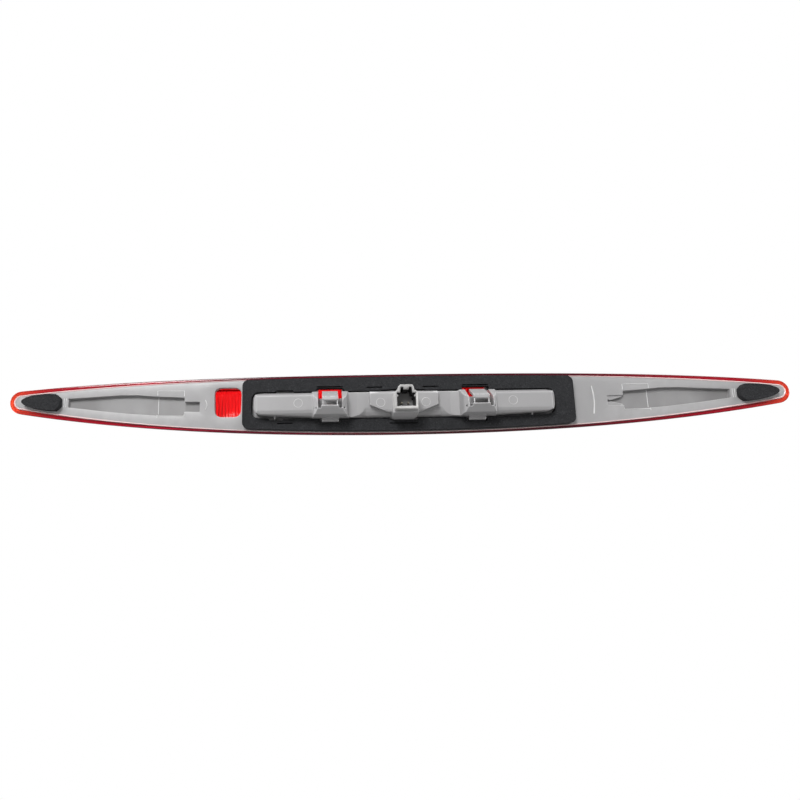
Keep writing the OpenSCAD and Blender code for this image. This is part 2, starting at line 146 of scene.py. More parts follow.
print("half width", round(half_width, 1), "tip radius", round(tip_radius, 2))
print("bow radius", round(bow_radius))

# %% [markdown]
# ## Helpers that make mouldings
#
# Most pieces of this lamp are slabs: a flat or gently bowed face with holes in it, walls, and a
# small round lip where face and wall meet. A plain extrusion has knife edges that catch no light.
# Here each contour is moved in along its normals in a few steps to form the lip, and a constrained
# triangulation fills the face between the lips, with spare points inside so that it can bend.

# %% Contours
def unit(vector):
    return vector / max(vector.length, 1e-9)


def moved(points, distance):
    """A closed anticlockwise contour moved outwards (or inwards, if negative) along its normals."""
    result = []
    for i, point in enumerate(points):
        before = unit(Vector(point) - Vector(points[i - 1]))
        after = unit(Vector(points[(i + 1) % len(points)]) - Vector(point))
        normals = Vector((before.y, -before.x)), Vector((after.y, -after.x))
        share = max(1 + normals[0].dot(normals[1]), 0.35)
        result.append(tuple(Vector(point) + (normals[0] + normals[1]) * (distance / share)))
    return result


def rounded(corners, radius, steps=5):
    """A polygon with each corner turned into an arc. radius is one number or one for each corner."""
    radii = radius if isinstance(radius, list) else [radius] * len(corners)
    result = []
    for i, corner in enumerate(corners):
        here = Vector(corner)
        back = Vector(corners[i - 1]) - here
        ahead = Vector(corners[(i + 1) % len(corners)]) - here
        turn = math.pi - back.angle(ahead)
        reach = min(radii[i] * math.tan(turn / 2), back.length * 0.45, ahead.length * 0.45)
        start = here + unit(back) * reach
        end = here + unit(ahead) * reach
        for k in range(steps + 1):
            t = k / steps
            result.append(tuple((1 - t) ** 2 * start + 2 * t * (1 - t) * here + t ** 2 * end))
    return result


def dense(points, spacing):
    """The same contour with extra points, so that no side is longer than spacing."""
    result = []
    for i, point in enumerate(points):
        start, end = Vector(points[i - 1]), Vector(point)
        pieces = max(1, math.ceil((end - start).length / spacing))
        result += [tuple(start.lerp(end, (k + 1) / pieces)) for k in range(pieces)]
    return result


def inside(point, contour):
    x, z = point
    hit = False
    for i, (x1, z1) in enumerate(contour):
        x0, z0 = contour[i - 1]
        if (z0 > z) != (z1 > z) and x < (x1 - x0) * (z - z0) / (z1 - z0) + x0:
            hit = not hit
    return hit


def box_points(x0, x1, z0, z1):
    return [(x0, z0), (x1, z0), (x1, z1), (x0, z1)]


# %% Meshes from contours
def ring_of(bm, points, y):
    return [bm.verts.new((x, y, z)) for x, z in points]


def join_rings(bm, first, second):
    for i in range(len(first)):
        bm.faces.new((first[i - 1], first[i], second[i], second[i - 1]))


def loft(bm, rings):
    """Walls between each ring and the next."""
    for first, second in zip(rings, rings[1:]):
        join_rings(bm, first, second)


def capped_loft(bm, rings):
    """A closed body: a face at each end and walls between, all facing outwards."""
    bm.faces.new(rings[0])
    loft(bm, rings)
    bm.faces.new(rings[-1])
    bmesh.ops.recalc_face_normals(bm, faces=bm.faces)


def fill(bm, outer, holes, spacing, y):
    """Triangles between an outer ring and hole rings, with spare points inside."""
    rings = [outer] + holes
    flat = [[(v.co.x, v.co.z) for v in ring] for ring in rings]
    known = [v for ring in rings for v in ring]
    points = [p for contour in flat for p in contour]
    edges = []
    start = 0
    for contour in flat:
        edges += [(start + i, start + (i + 1) % len(contour)) for i in range(len(contour))]
        start += len(contour)
    solid = np.array(points)
    low, high = solid.min(0), solid.max(0)
    if spacing:
        for i in range(1, int((high[0] - low[0]) / spacing)):
            for k in range(1, int((high[1] - low[1]) / spacing) + 1):
                spot = (low[0] + i * spacing, low[1] + (k - 0.5 + 0.5 * (i % 2)) * spacing)
                if np.hypot(*(solid - spot).T).min() < spacing * 0.55:
                    continue
                if inside(spot, flat[0]) and not any(inside(spot, hole) for hole in flat[1:]):
                    points.append(spot)
    found = delaunay_2d_cdt([Vector(p) for p in points], edges, [], 0, 1e-6)
    verts = []
    for co, source in zip(found[0], found[3]):
        kept = [i for i in source if i < len(known)]
        verts.append(known[kept[0]] if kept else bm.verts.new((co.x, y, co.y)))
    for face in found[2]:
        middle = sum((found[0][i] for i in face), Vector((0, 0))) / len(face)
        if inside(middle, flat[0]) and not any(inside(middle, hole) for hole in flat[1:]):
            if len({verts[i] for i in face}) == 3:
                bm.faces.new([verts[i] for i in face])


def lip(radius, steps=4):
    """Inset and drop of each step round a quarter circle, from the face to the wall."""
    angles = [math.pi / 2 * k / steps for k in range(steps + 1)]
    return [(radius * (1 - math.sin(a)), radius * (1 - math.cos(a))) for a in angles]


def slab(bm, outer, holes, top, bottom, radius, spacing=6):
    """A slab from top down to bottom. Each hole is (contour, floor): floor None goes through."""
    def lip_rings(contour, sign):
        return [ring_of(bm, moved(contour, sign * inset), top - drop) for inset, drop in lip(radius)]

    walls = lip_rings(outer, -1) + [ring_of(bm, outer, bottom)]
    loft(bm, walls)
    foot = radius * 0.6
    mouths, exits = [], []
    for contour, floor in holes:
        rings = lip_rings(contour, 1)
        mouths.append(rings[0])
        if floor is None:
            rings.append(ring_of(bm, contour, bottom))
            exits.append(rings[-1])
            loft(bm, rings)
        else:
            rings.append(ring_of(bm, contour, floor + foot))
            rings.append(ring_of(bm, moved(contour, -foot), floor))
            loft(bm, rings)
            fill(bm, rings[-1], [], spacing, floor)
    fill(bm, walls[0], mouths, spacing, top)
    fill(bm, walls[-1], exits, spacing, bottom)


def bend(bm):
    """Lays flat work on the lamp's bow."""
    for vert in bm.verts:
        vert.co.y += bow(vert.co.x)


def as_object(name, bm):
    """The object that a bmesh becomes. The bmesh is used up."""
    mesh = bpy.data.meshes.new(name)
    bm.to_mesh(mesh)
    bm.free()
    piece = bpy.data.objects.new(name, mesh)
    scene.collection.objects.link(piece)
    return piece


def finished(name, bm, sharp_degrees=35):
    """An object at the origin from millimetre work, with closed seams and outward faces."""
    bmesh.ops.remove_doubles(bm, verts=bm.verts, dist=1e-4)
    bmesh.ops.recalc_face_normals(bm, faces=bm.faces)
    bmesh.ops.scale(bm, vec=(MM, MM, MM), verts=bm.verts)
    piece = as_object(name, bm)
    piece.data.polygons.foreach_set("use_smooth", [True] * len(piece.data.polygons))
    piece.data.set_sharp_from_angle(angle=math.radians(sharp_degrees))
    return piece


def settle(piece):
    """Turns modifiers into a plain mesh and removes them."""
    graph = bpy.context.evaluated_depsgraph_get()
    graph.update()
    mesh = bpy.data.meshes.new_from_object(piece.evaluated_get(graph), depsgraph=graph)
    piece.modifiers.clear()
    piece.data = mesh
    return piece


def fitted(piece, body, node):
    """Puts a finished piece on its body, in place of a node of the solid model."""
    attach(piece, body)
    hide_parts(node)
    print(piece.name, len(piece.data.polygons), "faces")


# %% [markdown]
# ## Helpers for blocks
#
# The pod, the clip cages and the latches are chunky shapes. Each is the overlap of two or three
# extrusions, which is how a toolmaker mills a cavity: one profile from each side. The overlap is a
# boolean. A voxel remesh then melts neighbours into one skin and a light smoothing leaves the soft
# inner fillets and round edges that moulded plastic has.

# %% Blocks, overlaps and the melting step
def prism(points, along, start, end):
    """Extrudes points along x, y or z. The points give the other two coordinates in that order."""
    bm = bmesh.new()
    place = {
        "x": lambda a, b, s: (s, a, b),
        "y": lambda a, b, s: (a, s, b),
        "z": lambda a, b, s: (a, b, s),
    }[along]
    rings = [[bm.verts.new(place(a, b, s)) for a, b in points] for s in (start, end)]
    capped_loft(bm, rings)
    return as_object("work", bm)


def combined(base, tools, operation):
    for tool in tools:
        step = base.modifiers.new("cut", "BOOLEAN")
        step.object = tool
        step.operation = operation
        step.solver = "EXACT"
    settle(base)
    for tool in tools:
        bpy.data.objects.remove(tool)
    return base


def melted(name, blocks, voxel, smooth_steps, keep):
    """Joins millimetre blocks into one skin with soft edges and scales it to metres."""
    bm = bmesh.new()
    for block in blocks:
        bm.from_mesh(block.data)
        bpy.data.objects.remove(block)
    piece = as_object(name, bm)
    skin = piece.modifiers.new("skin", "REMESH")
    skin.mode = "VOXEL"
    skin.voxel_size = voxel
    skin.adaptivity = 0
    ease = piece.modifiers.new("ease", "SMOOTH")
    ease.factor = 0.5
    ease.iterations = smooth_steps
    thin = piece.modifiers.new("thin", "DECIMATE")
    thin.ratio = keep
    settle(piece)
    piece.data.transform(Matrix.Scale(MM, 4))
    piece.data.polygons.foreach_set("use_smooth", [True] * len(piece.data.polygons))
    return piece


# %% [markdown]
# ## Helpers for node trees
#
# Finishes, the studio's glow and the pieces that repeat are all node trees. They could be drawn by
# hand in the editor, but a tree that is built in code can be read, repeated and changed. `wired`
# adds a node and fills or links its sockets in one call.

# %% Helpers for node trees
def wired(tree, kind, inputs=(), **settings):
    node = tree.nodes.new(kind)
    for key, value in settings.items():
        setattr(node, key, value)
    for socket, value in inputs:
        if isinstance(value, bpy.types.NodeSocket):
            tree.links.new(value, node.inputs[socket])
        else:
            node.inputs[socket].default_value = value
    return node


def computed(tree, operation, *values):
    """The result of a Math node."""
    return wired(tree, "ShaderNodeMath", list(enumerate(values)), operation=operation).outputs[0]


print("helpers ready")

# %% [markdown]
# ## The camera, the floor and the light
#
# The camera stands a little below the lamp on the car's side and looks straight at it. It stands
# off to one side of the lamp's middle without turning, which a small lens shift makes up for. The
# floor lies well below, so that the lamp is seen against plain white as on a product page.
#
# A high key light shapes the pod, a weak fill opens its shadows, and two side lights catch the
# ends of the arms. A light on the lens side shines through the red rim and window, as the real
# lens glows when light comes from behind it. The world glows more strongly there than on the
# car's side, so the grey mouldings keep their shading.

# %% Camera, floor and lights
camera_distance = 0.430
camera_side = 0.050
camera_below = math.radians(11.0)
aim = Vector((camera_side, plate_y * MM, 0.0036))
camera_data = bpy.data.cameras.new("camera")
camera = bpy.data.objects.new("camera", camera_data)
scene.collection.objects.link(camera)
scene.camera = camera
camera_data.sensor_fit = "HORIZONTAL"
camera_data.angle = math.radians(67.6)
camera_data.shift_x = 0.0894
away = Vector((0, math.cos(camera_below), -math.sin(camera_below)))
camera.location = aim + away * camera_distance
roll = Matrix.Rotation(math.radians(-0.86), 4, away)
camera.matrix_world = (
    Matrix.Translation(camera.location)
    @ roll
    @ (-away).to_track_quat("-Z", "Y").to_matrix().to_4x4()
)

floor_level = -0.36
floor_size = 8.0
bpy.ops.mesh.primitive_plane_add(size=floor_size, location=(0, 0, floor_level))
floor = bpy.context.object
floor.name = "floor"
scene.view_settings.view_transform = "Standard"


def soft_light(name, place, size, power):
    data = bpy.data.lights.new(name, "AREA")
    data.shape = "DISK"
    data.size = size
    data.energy = power
    lamp = bpy.data.objects.new(name, data)
    lamp.location = place
    lamp.rotation_euler = (-Vector(place)).to_track_quat("-Z", "Y").to_euler()
    scene.collection.objects.link(lamp)


soft_light("key", (0.36, 0.95, 0.62), 0.46, 9.5)
soft_light("fill", (-0.70, 0.45, 0.75), 0.5, 2.0)
soft_light("front", (0.2, -1.1, 0.5), 0.9, 5.5)
for side in (-1, 1):
    soft_light("side", (0.9 * side, 0.14, 0.06), 0.35, 1.8)

world = bpy.data.worlds.new("studio")
scene.world = world
world.use_nodes = True
sky = world.node_tree
sky.nodes.clear()
pure_white = (1, 1, 1, 1)
heading = wired(sky, "ShaderNodeSeparateXYZ", [
    (0, wired(sky, "ShaderNodeTexCoord").outputs["Generated"])])
glow_power = wired(sky, "ShaderNodeMapRange", [
    ("Value", heading.outputs["Y"]), ("From Min", 0.25), ("From Max", -0.35),
    ("To Min", 0.34), ("To Max", 1.0)])
glow = wired(sky, "ShaderNodeBackground", [
    ("Color", pure_white), ("Strength", glow_power.outputs[0])])
backdrop = wired(sky, "ShaderNodeBackground", [("Color", pure_white), ("Strength", 1.0)])
chooser = wired(sky, "ShaderNodeMixShader", [
    (0, wired(sky, "ShaderNodeLightPath").outputs["Is Camera Ray"]),
    (1, glow.outputs[0]), (2, backdrop.outputs[0])])
wired(sky, "ShaderNodeOutputWorld", [("Surface", chooser.outputs[0])])
print("camera at", [round(v, 3) for v in camera.location])

# %% [markdown]
# ## Shader groups
#
# An effect that several finishes share is built once as a group: the fine grain of a moulding
# tool, a painted pale highlight on edges, painted shade in corners, specks of dust, and the pores
# of foam. A group puts out only masks and heights. Each material places it with its own scale and
# keeps its own shader.

# %% An empty group
def shader_group(name, inputs, outputs):
    """An empty group with a Vector input, named number inputs, and named number outputs."""
    tree = bpy.data.node_groups.new(name, "ShaderNodeTree")
    tree.interface.new_socket("Vector", in_out="INPUT", socket_type="NodeSocketVector")
    for label, value in inputs:
        socket = tree.interface.new_socket(label, in_out="INPUT", socket_type="NodeSocketFloat")
        socket.default_value = value
    for label in outputs:
        tree.interface.new_socket(label, in_out="OUTPUT", socket_type="NodeSocketFloat")
    return tree, tree.nodes.new("NodeGroupInput"), tree.nodes.new("NodeGroupOutput")


# %% Moulded grain: fine height, and slow cloudiness for roughness
grain_tree, given, result = shader_group("moulded_grain", [("Scale", 2600.0)], ["Height", "Cloud"])
fine = wired(grain_tree, "ShaderNodeTexNoise", [
    ("Vector", given.outputs["Vector"]), ("Scale", given.outputs["Scale"]), ("Detail", 3.0)])
slow = wired(grain_tree, "ShaderNodeTexNoise", [
    ("Vector", given.outputs["Vector"]), ("Scale", 55.0), ("Detail", 4.0), ("Roughness", 0.6)])
grain_tree.links.new(fine.outputs["Fac"], result.inputs["Height"])
grain_tree.links.new(slow.outputs["Fac"], result.inputs["Cloud"])

# %% Edge highlight, hollow shade and dust: painted pale highlights on edges, painted shade in hollows, and a few dust specks
highlight_shade_speck_tree, given, result = shader_group("edge_highlight_hollow_shade_specks", [("Speck scale", 700.0)], ["Edge", "Hollow", "Speck"])
shape = wired(highlight_shade_speck_tree, "ShaderNodeNewGeometry")
patchy = wired(highlight_shade_speck_tree, "ShaderNodeTexNoise", [
    ("Vector", given.outputs["Vector"]), ("Scale", 180.0), ("Detail", 3.0)])
# Painted highlight: a patchy pale mask on pointed edges.
edge = wired(highlight_shade_speck_tree, "ShaderNodeMapRange", [
    ("Value", shape.outputs["Pointiness"]), ("From Min", 0.51), ("From Max", 0.56)])
edge_patchy = computed(highlight_shade_speck_tree, "MULTIPLY", edge.outputs[0], patchy.outputs["Fac"])
# Painted shade: a dark mask in hollows.
hollow = wired(highlight_shade_speck_tree, "ShaderNodeMapRange", [
    ("Value", shape.outputs["Pointiness"]), ("From Min", 0.485), ("From Max", 0.42)])
cells = wired(highlight_shade_speck_tree, "ShaderNodeTexVoronoi", [
    ("Vector", given.outputs["Vector"]), ("Scale", given.outputs["Speck scale"])])
speck = wired(highlight_shade_speck_tree, "ShaderNodeMapRange", [
    ("Value", cells.outputs["Distance"]), ("From Min", 0.10), ("From Max", 0.04)])
highlight_shade_speck_tree.links.new(edge_patchy, result.inputs["Edge"])
highlight_shade_speck_tree.links.new(hollow.outputs[0], result.inputs["Hollow"])
highlight_shade_speck_tree.links.new(speck.outputs[0], result.inputs["Speck"])

# %% Foam pores: open cells cut by the die, and the mottled shade between them
foam_tree, given, result = shader_group("foam_pores", [("Scale", 1500.0)], ["Height", "Shade"])
pores = wired(foam_tree, "ShaderNodeTexVoronoi", [
    ("Vector", given.outputs["Vector"]), ("Scale", given.outputs["Scale"])], feature="SMOOTH_F1")
mottle = wired(foam_tree, "ShaderNodeTexNoise", [
    ("Vector", given.outputs["Vector"]), ("Scale", 260.0), ("Detail", 5.0), ("Roughness", 0.7)])
both = computed(foam_tree, "MULTIPLY", pores.outputs["Distance"], mottle.outputs["Fac"])
foam_tree.links.new(pores.outputs["Distance"], result.inputs["Height"])
foam_tree.links.new(both, result.inputs["Shade"])
print("groups:", grain_tree.name, highlight_shade_speck_tree.name, foam_tree.name)

# %% [markdown]
# ## Finishes
#
# Each material starts from Object coordinates, which are the lamp's own metres, so that a pattern
# has the same size on every piece. The grey plastic is satin with a fine grain, with a painted
# highlight on its edges and painted shade in its hollows. The lens is clear acrylic dyed red: its
# colour comes from the light that passes through it. Its base colour also carries painted light: a
# bright orange glow at the tips and a darker, shaded red on the flange.

# %% Helpers for materials
def material(name, shader_values):
    made = bpy.data.materials.new(name)
    made.use_nodes = True
    tree = made.node_tree
    shader = next(n for n in tree.nodes if n.type == "BSDF_PRINCIPLED")
    for socket, value in shader_values.items():
        shader.inputs[socket].default_value = value
    place = wired(tree, "ShaderNodeTexCoord").outputs["Object"]
    return made, tree, shader, place


def placed_group(tree, group, place, **values):
    node = tree.nodes.new("ShaderNodeGroup")
    node.node_tree = group
    tree.links.new(place, node.inputs["Vector"])
    for label, value in values.items():
        node.inputs[label.replace("_", " ")].default_value = value
    return node


def two_tone(tree, mask, first, second):
    """A colour that goes from first to second as the mask goes from 0 to 1."""
    mix = wired(tree, "ShaderNodeMix", data_type="RGBA")
    tree.links.new(mask, mix.inputs[0])
    for socket, colour in ((mix.inputs[6], first), (mix.inputs[7], second)):
        if isinstance(colour, bpy.types.NodeSocket):
            tree.links.new(colour, socket)
        else:
            socket.default_value = (*colour, 1)
    return mix.outputs[2]


def painted(tree, shader, mask, first, second):
    tree.links.new(two_tone(tree, mask, first, second), shader.inputs["Base Color"])


def bumped(tree, shader, height, distance, strength):
    bump = wired(tree, "ShaderNodeBump", [
        ("Height", height), ("Distance", distance), ("Strength", strength)])
    tree.links.new(bump.outputs["Normal"], shader.inputs["Normal"])


def clouded(tree, shader, cloud, low, high):
    """Roughness that drifts from low to high over the surface."""
    drift = wired(tree, "ShaderNodeMapRange", [
        ("Value", cloud), ("From Min", 0.3), ("From Max", 0.7), ("To Min", low), ("To Max", high)])
    tree.links.new(drift.outputs[0], shader.inputs["Roughness"])


def toned(colour, share):
    return [c * share for c in colour]


# %% Moulded plastics
def moulded_plastic(name, colour, edge_highlight_colour, shade_and_dust, rough, grain_strength):
    made, tree, shader, place = material(name, {"IOR": 1.5})
    grain = placed_group(tree, grain_tree, place, Scale=2600.0)
    edge_hollow_speck = placed_group(tree, highlight_shade_speck_tree, place)
    cloud = grain.outputs["Cloud"]
    mottled = two_tone(tree, cloud, toned(colour, 0.94), toned(colour, 1.06))
    # Painted highlight: edges are mixed towards a pale colour. Painted shade: hollows are mixed towards a
    # dark colour, and the dust specks share that colour.
    with_edge_highlight = two_tone(tree, edge_hollow_speck.outputs["Edge"], mottled, edge_highlight_colour)
    with_hollow_shade = two_tone(tree, edge_hollow_speck.outputs["Hollow"], with_edge_highlight, shade_and_dust)
    painted(tree, shader, edge_hollow_speck.outputs["Speck"], with_hollow_shade, shade_and_dust)
    clouded(tree, shader, cloud, rough - 0.05, rough + 0.06)
    bumped(tree, shader, grain.outputs["Height"], 0.00004, grain_strength)
    return made


def even(value):
    return (value, value, value)


# For each plastic: its colour, its painted edge highlight, the colour of its painted hollow shade and dust
# specks, roughness and grain.
grey = moulded_plastic(
    "grey_carrier", (0.42, 0.415, 0.42), even(0.95), (0.24, 0.235, 0.235), 0.33, 0.35)
socket_grey = moulded_plastic(
    "grey_socket", (0.46, 0.455, 0.45), (0.85, 0.84, 0.82), (0.24, 0.235, 0.23), 0.38, 0.3)
black = moulded_plastic(
    "component_black", (0.012, 0.012, 0.013), even(0.06), even(0.01), 0.55, 0.5)
# A pale colour for the raised tool lines: a painted highlight on what is grey plastic.
pale_highlight_line = moulded_plastic("pale_highlight_line", even(0.78), even(0.9), even(0.5), 0.3, 0.2)
white = moulded_plastic(
    "led_package", (0.82, 0.81, 0.78), even(0.9), (0.6, 0.58, 0.5), 0.35, 0.2)

# %% [markdown]
# The lens is dyed acrylic, glossy outside. Its base colour is not one red everywhere. Painted shade
# makes the flange a darker red, darkest in the middle of the lamp. A painted glow makes the tips a
# bright orange, for the light that gathers in the thin tips. So the base colour follows a mark on
# the flange's points and the place along the lamp.

# %% Red lens
red, tree, shader, place = material("red_lens", {
    "Roughness": 0.08, "IOR": 1.45, "Transmission Weight": 0.55})
split = wired(tree, "ShaderNodeSeparateXYZ", [(0, place)])
reach = computed(tree, "ABSOLUTE", split.outputs["X"])
# Painted glow: the tips get a bright orange base colour for the light gathering in them.
painted_tip_glow = wired(tree, "ShaderNodeMapRange", [
    ("Value", reach), ("From Min", 0.235), ("From Max", half_width * MM)])
tip_curve = computed(tree, "POWER", painted_tip_glow.outputs[0], 2.0)
on_flange = wired(tree, "ShaderNodeAttribute", attribute_name="flange").outputs["Fac"]
# Painted shade: the flange gets a darker red than the front, darkest in the middle of the lamp.
outer_reach = wired(tree, "ShaderNodeMapRange", [
    ("Value", reach), ("From Min", 0.12), ("From Max", 0.23)])
painted_rim_shade = two_tone(tree, outer_reach.outputs[0], (0.11, 0.001, 0.012), (0.52, 0.004, 0.022))
front_red_and_flange_shade = two_tone(tree, on_flange, (0.74, 0.008, 0.010), painted_rim_shade)
painted(tree, shader, tip_curve, front_red_and_flange_shade, (1.0, 0.085, 0.03))
flow = placed_group(tree, grain_tree, place, Scale=420.0)
bumped(tree, shader, flow.outputs["Cloud"], 0.00006, 0.25)

# %% Weld bead
bead_finish, tree, shader, place = material("weld_bead", {
    "Roughness": 0.22, "IOR": 1.49, "Coat Weight": 0.4})
ripple = placed_group(tree, grain_tree, place, Scale=900.0)
painted(tree, shader, ripple.outputs["Cloud"], (0.90, 0.55, 0.55), (0.97, 0.84, 0.82))
bumped(tree, shader, ripple.outputs["Height"], 0.0002, 0.6)

# %% [markdown]
# The gasket is soft black foam with open cells. Cells this small would be millions of faces, so the
# surface is smooth and the cells are a bump, with pale dust specks that foam always picks up.

# %% Foam
foam, tree, shader, place = material("foam", {"Roughness": 0.95, "IOR": 1.35})
pore = placed_group(tree, foam_tree, place, Scale=1500.0)
dust = placed_group(tree, highlight_shade_speck_tree, place, Speck_scale=420.0)
shade = two_tone(tree, pore.outputs["Shade"], (0.018, 0.0185, 0.020), (0.076, 0.077, 0.083))
painted(tree, shader, dust.outputs["Speck"], shade, (0.12, 0.12, 0.125))
bumped(tree, shader, pore.outputs["Height"], 0.0005, 0.8)

# %% [markdown]
# Contacts, screws, solder and the reflector are bare metal, and the optic strip and the diodes'
# domes are clear plastic. Two functions make them all, each with a slow change of roughness, since
# handled metal and moulded clear parts are never equally shiny all over.


# %% Metals, board and clear parts
def metal(name, colour, dull, rough):
    made, tree, shader, place = material(name, {"Metallic": 1.0})
    grain = placed_group(tree, grain_tree, place, Scale=3000.0)
    painted(tree, shader, grain.outputs["Cloud"], colour, dull)
    clouded(tree, shader, grain.outputs["Cloud"], rough, rough + 0.15)
    bumped(tree, shader, grain.outputs["Height"], 0.00003, 0.3)
    return made


def clear(name, colour, rough, passes):
    made, tree, shader, place = material(name, {"IOR": 1.49, "Transmission Weight": passes})
    grain = placed_group(tree, grain_tree, place, Scale=800.0)
    painted(tree, shader, grain.outputs["Cloud"], colour, toned(colour, 0.92))
    clouded(tree, shader, grain.outputs["Cloud"], rough, rough + 0.05)
    return made


contact = metal("contact_metal", (0.78, 0.74, 0.62), (0.62, 0.56, 0.42), 0.22)
steel = metal("screw_steel", (0.66, 0.67, 0.70), even(0.50), 0.28)
tin = metal("solder", (0.75, 0.75, 0.77), (0.60, 0.60, 0.62), 0.2)
can = metal("capacitor_can", (0.76, 0.76, 0.78), (0.66, 0.66, 0.68), 0.25)
mirror_coat = metal("mirror_coat", (0.90, 0.91, 0.93), (0.80, 0.81, 0.83), 0.07)
board_finish = moulded_plastic(
    "board", (0.03, 0.16, 0.07), (0.10, 0.30, 0.15), (0.02, 0.08, 0.04), 0.3, 0.3)
optic_clear = clear("clear_optic", (0.97, 0.95, 0.95), 0.03, 0.95)
chip_clear = clear("led_chip", (0.85, 0.30, 0.20), 0.05, 0.5)

# %% [markdown]
# The floor must look like white paper and yet throw little light up under the lamp. So the camera
# sees it as a plain white glow, and every other ray meets a matt mid grey.

# %% Floor
floor_finish, tree, shader, place = material("floor_finish", {"Roughness": 0.9})
floor_cloud = placed_group(tree, grain_tree, place, Scale=40.0)
painted(tree, shader, floor_cloud.outputs["Cloud"], even(0.24), even(0.26))
paper = wired(tree, "ShaderNodeEmission", [("Color", pure_white), ("Strength", 1.0)])
lit_floor = wired(tree, "ShaderNodeMixShader", [
    (0, wired(tree, "ShaderNodeLightPath").outputs["Is Camera Ray"]),
    (1, shader.outputs[0]), (2, paper.outputs[0])])
closing = next(n for n in tree.nodes if n.type == "OUTPUT_MATERIAL")
tree.links.new(lit_floor.outputs[0], closing.inputs["Surface"])
floor.data.materials.append(floor_finish)
print(len(bpy.data.materials), "materials")


# %% Finishes for the nodes whose solid shape is already right
def dressed(piece, finish):
    piece.data.materials.clear()
    piece.data.materials.append(finish)
    return piece


for node, finish in (
    ("supply_pin", contact), ("ground_pin", contact), ("circuit_board", board_finish),
    ("reflector", mirror_coat), ("optic_strip", optic_clear), ("resistors", black),
    ("polarity_diode", black), ("surge_capacitor", can), ("current_regulator", black),
    ("solder_joints", tin),
):
    dressed(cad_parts[node], finish)
    print(node, "is", finish.name)

# %% [markdown]
# ## The red lens
#
# The real lens is one injection-moulded acrylic shell: a flange round the carrier, drafted walls,
# a rounded edge and a crowned front. Its section changes all along the lamp, so it is a loft: one
# closed loop of points is drawn for each place along the lamp, and neighbouring loops are joined.
# The loop runs outside first and then back inside, which gives the wall its thickness at once.

# %% Loft of the lens
flange_depth = 4.0
tip_front_depth = 9.5
middle_front_depth = -(lens_front_y - plate_y)
corner_radius = 5.5
wall_draft = 3.2
flute_pitch = 2.4
flute_depth = 0.3
samples_per_flute = 5
crown_sag = 3.2          # fall of the crowned front towards its edges, at the full depth
full_depth = 24
corner_share = 0.42      # the corner's radius is at most this share of the depth
corner_squash = 0.55     # and its width this share of the radius


def front_depth(t):
    """Depth of the crowned front behind the rim, from the middle (t = 0) to a tip (t = 1)."""
    return middle_front_depth + (tip_front_depth - middle_front_depth) * t * t


def loop_point(t, side, inset, share, depth):
    """A point of the loop: inset from the outline, at a share of the height, at a depth."""
    x = t * (half_width - inset)
    height = inset_height(x, inset)
    return (x, rim_y + bow(x) - depth, arch(x) + side * share * height)


def half_loop(t, side):
    """Outer and inner points on one side of the lamp's centre line, from the front to the rim."""
    depth = front_depth(abs(t))
    corner = min(corner_radius, depth * corner_share)
    crown = crown_sag * depth / full_depth
    edge_drop = crown * 0.8
    rim = blend(rim_bottom if side < 0 else rim_top, rim_end, t * tip_start)
    body_inset = lens_step + wall_draft * min(1, depth / middle_front_depth)
    inner_depth = depth - lens_wall
    cavity = body_inset + lens_wall
    outer = [(body_inset, share, depth - crown * share ** 2) for share in (0.0, 0.25, 0.5, 0.72)]
    for k in range(5):
        angle = math.pi / 2 * k / 4
        shrink = corner * (1 - math.sin(angle)) * corner_squash
        outer.append((body_inset + shrink, 1.0, depth - edge_drop - corner * (1 - math.cos(angle))))
    outer += [
        (lens_step, 1.0, flange_depth + 0.5), (lens_step - 0.5, 1.0, flange_depth),
        (0.5, 1.0, flange_depth), (0.1, 1.0, flange_depth - 0.4)]
    outer += [(inset, 1.0, drop) for inset, drop in reversed(lip(0.7, 3))]
    inner = [(cavity, share, inner_depth - crown * share ** 2) for share in (0.0, 0.3, 0.6, 0.85)]
    inner += [
        (cavity, 1.0, inner_depth - edge_drop - corner * 0.3),
        (cavity - wall_draft * 0.5, 1.0, inner_depth * 0.55),
        (lens_step + lens_wall, 1.0, 2.7), (rim + 0.15, 1.0, 2.6), (rim, 1.0, 0.4),
        (rim - 0.3, 1.0, 0.0)]
    return [[loop_point(t, side, *place) for place in places] for places in (outer, inner)]


def lens_stations():
    """Places along the lamp: even where the flutes are, and crowded round each tip."""
    straight = tip_centre / half_width
    step = flute_pitch / samples_per_flute / half_width
    count = int(straight / step)
    places = [i * step for i in range(-count, count + 1)]
    tip = [places[-1] + (1 - places[-1]) * math.sin(math.pi / 2 * k / 14) for k in range(1, 15)]
    return [-t for t in reversed(tip)] + places + tip


bm = bmesh.new()
loops = []
inner_flag = bm.verts.layers.float.new("flute_weight")
flange_flag = bm.verts.layers.float.new("flange")
for t in lens_stations():
    upper_outer, upper_inner = half_loop(t, 1)
    lower_outer, lower_inner = half_loop(t, -1)
    loop = upper_outer + upper_inner[::-1] + lower_inner[1:] + lower_outer[:0:-1]
    middle = len(upper_outer) + len(upper_inner)
    verts = [bm.verts.new(point) for point in loop]
    for vert in verts[middle - 5:middle + 3]:  # the inner face, from its upper to its lower edge
        vert[inner_flag] = 1.0
    for vert in verts:
        depth = rim_y + bow(vert.co.x) - vert.co.y
        vert[flange_flag] = float(depth < flange_depth + 0.6)
    loops.append(verts)
loft(bm, loops)
lens = finished("outer_lens_shell", bm, 40)
print(len(loops), "loops along the lens")

# %% [markdown]
# ## Flutes inside the lens
#
# Upright flutes on the inner face spread each diode's light sideways. They follow one rule along
# the whole lamp, so a Geometry Nodes tree raises them: it moves each marked point towards the car
# by a wave of its place along the lamp. Pitch and depth stay named inputs that can be changed.

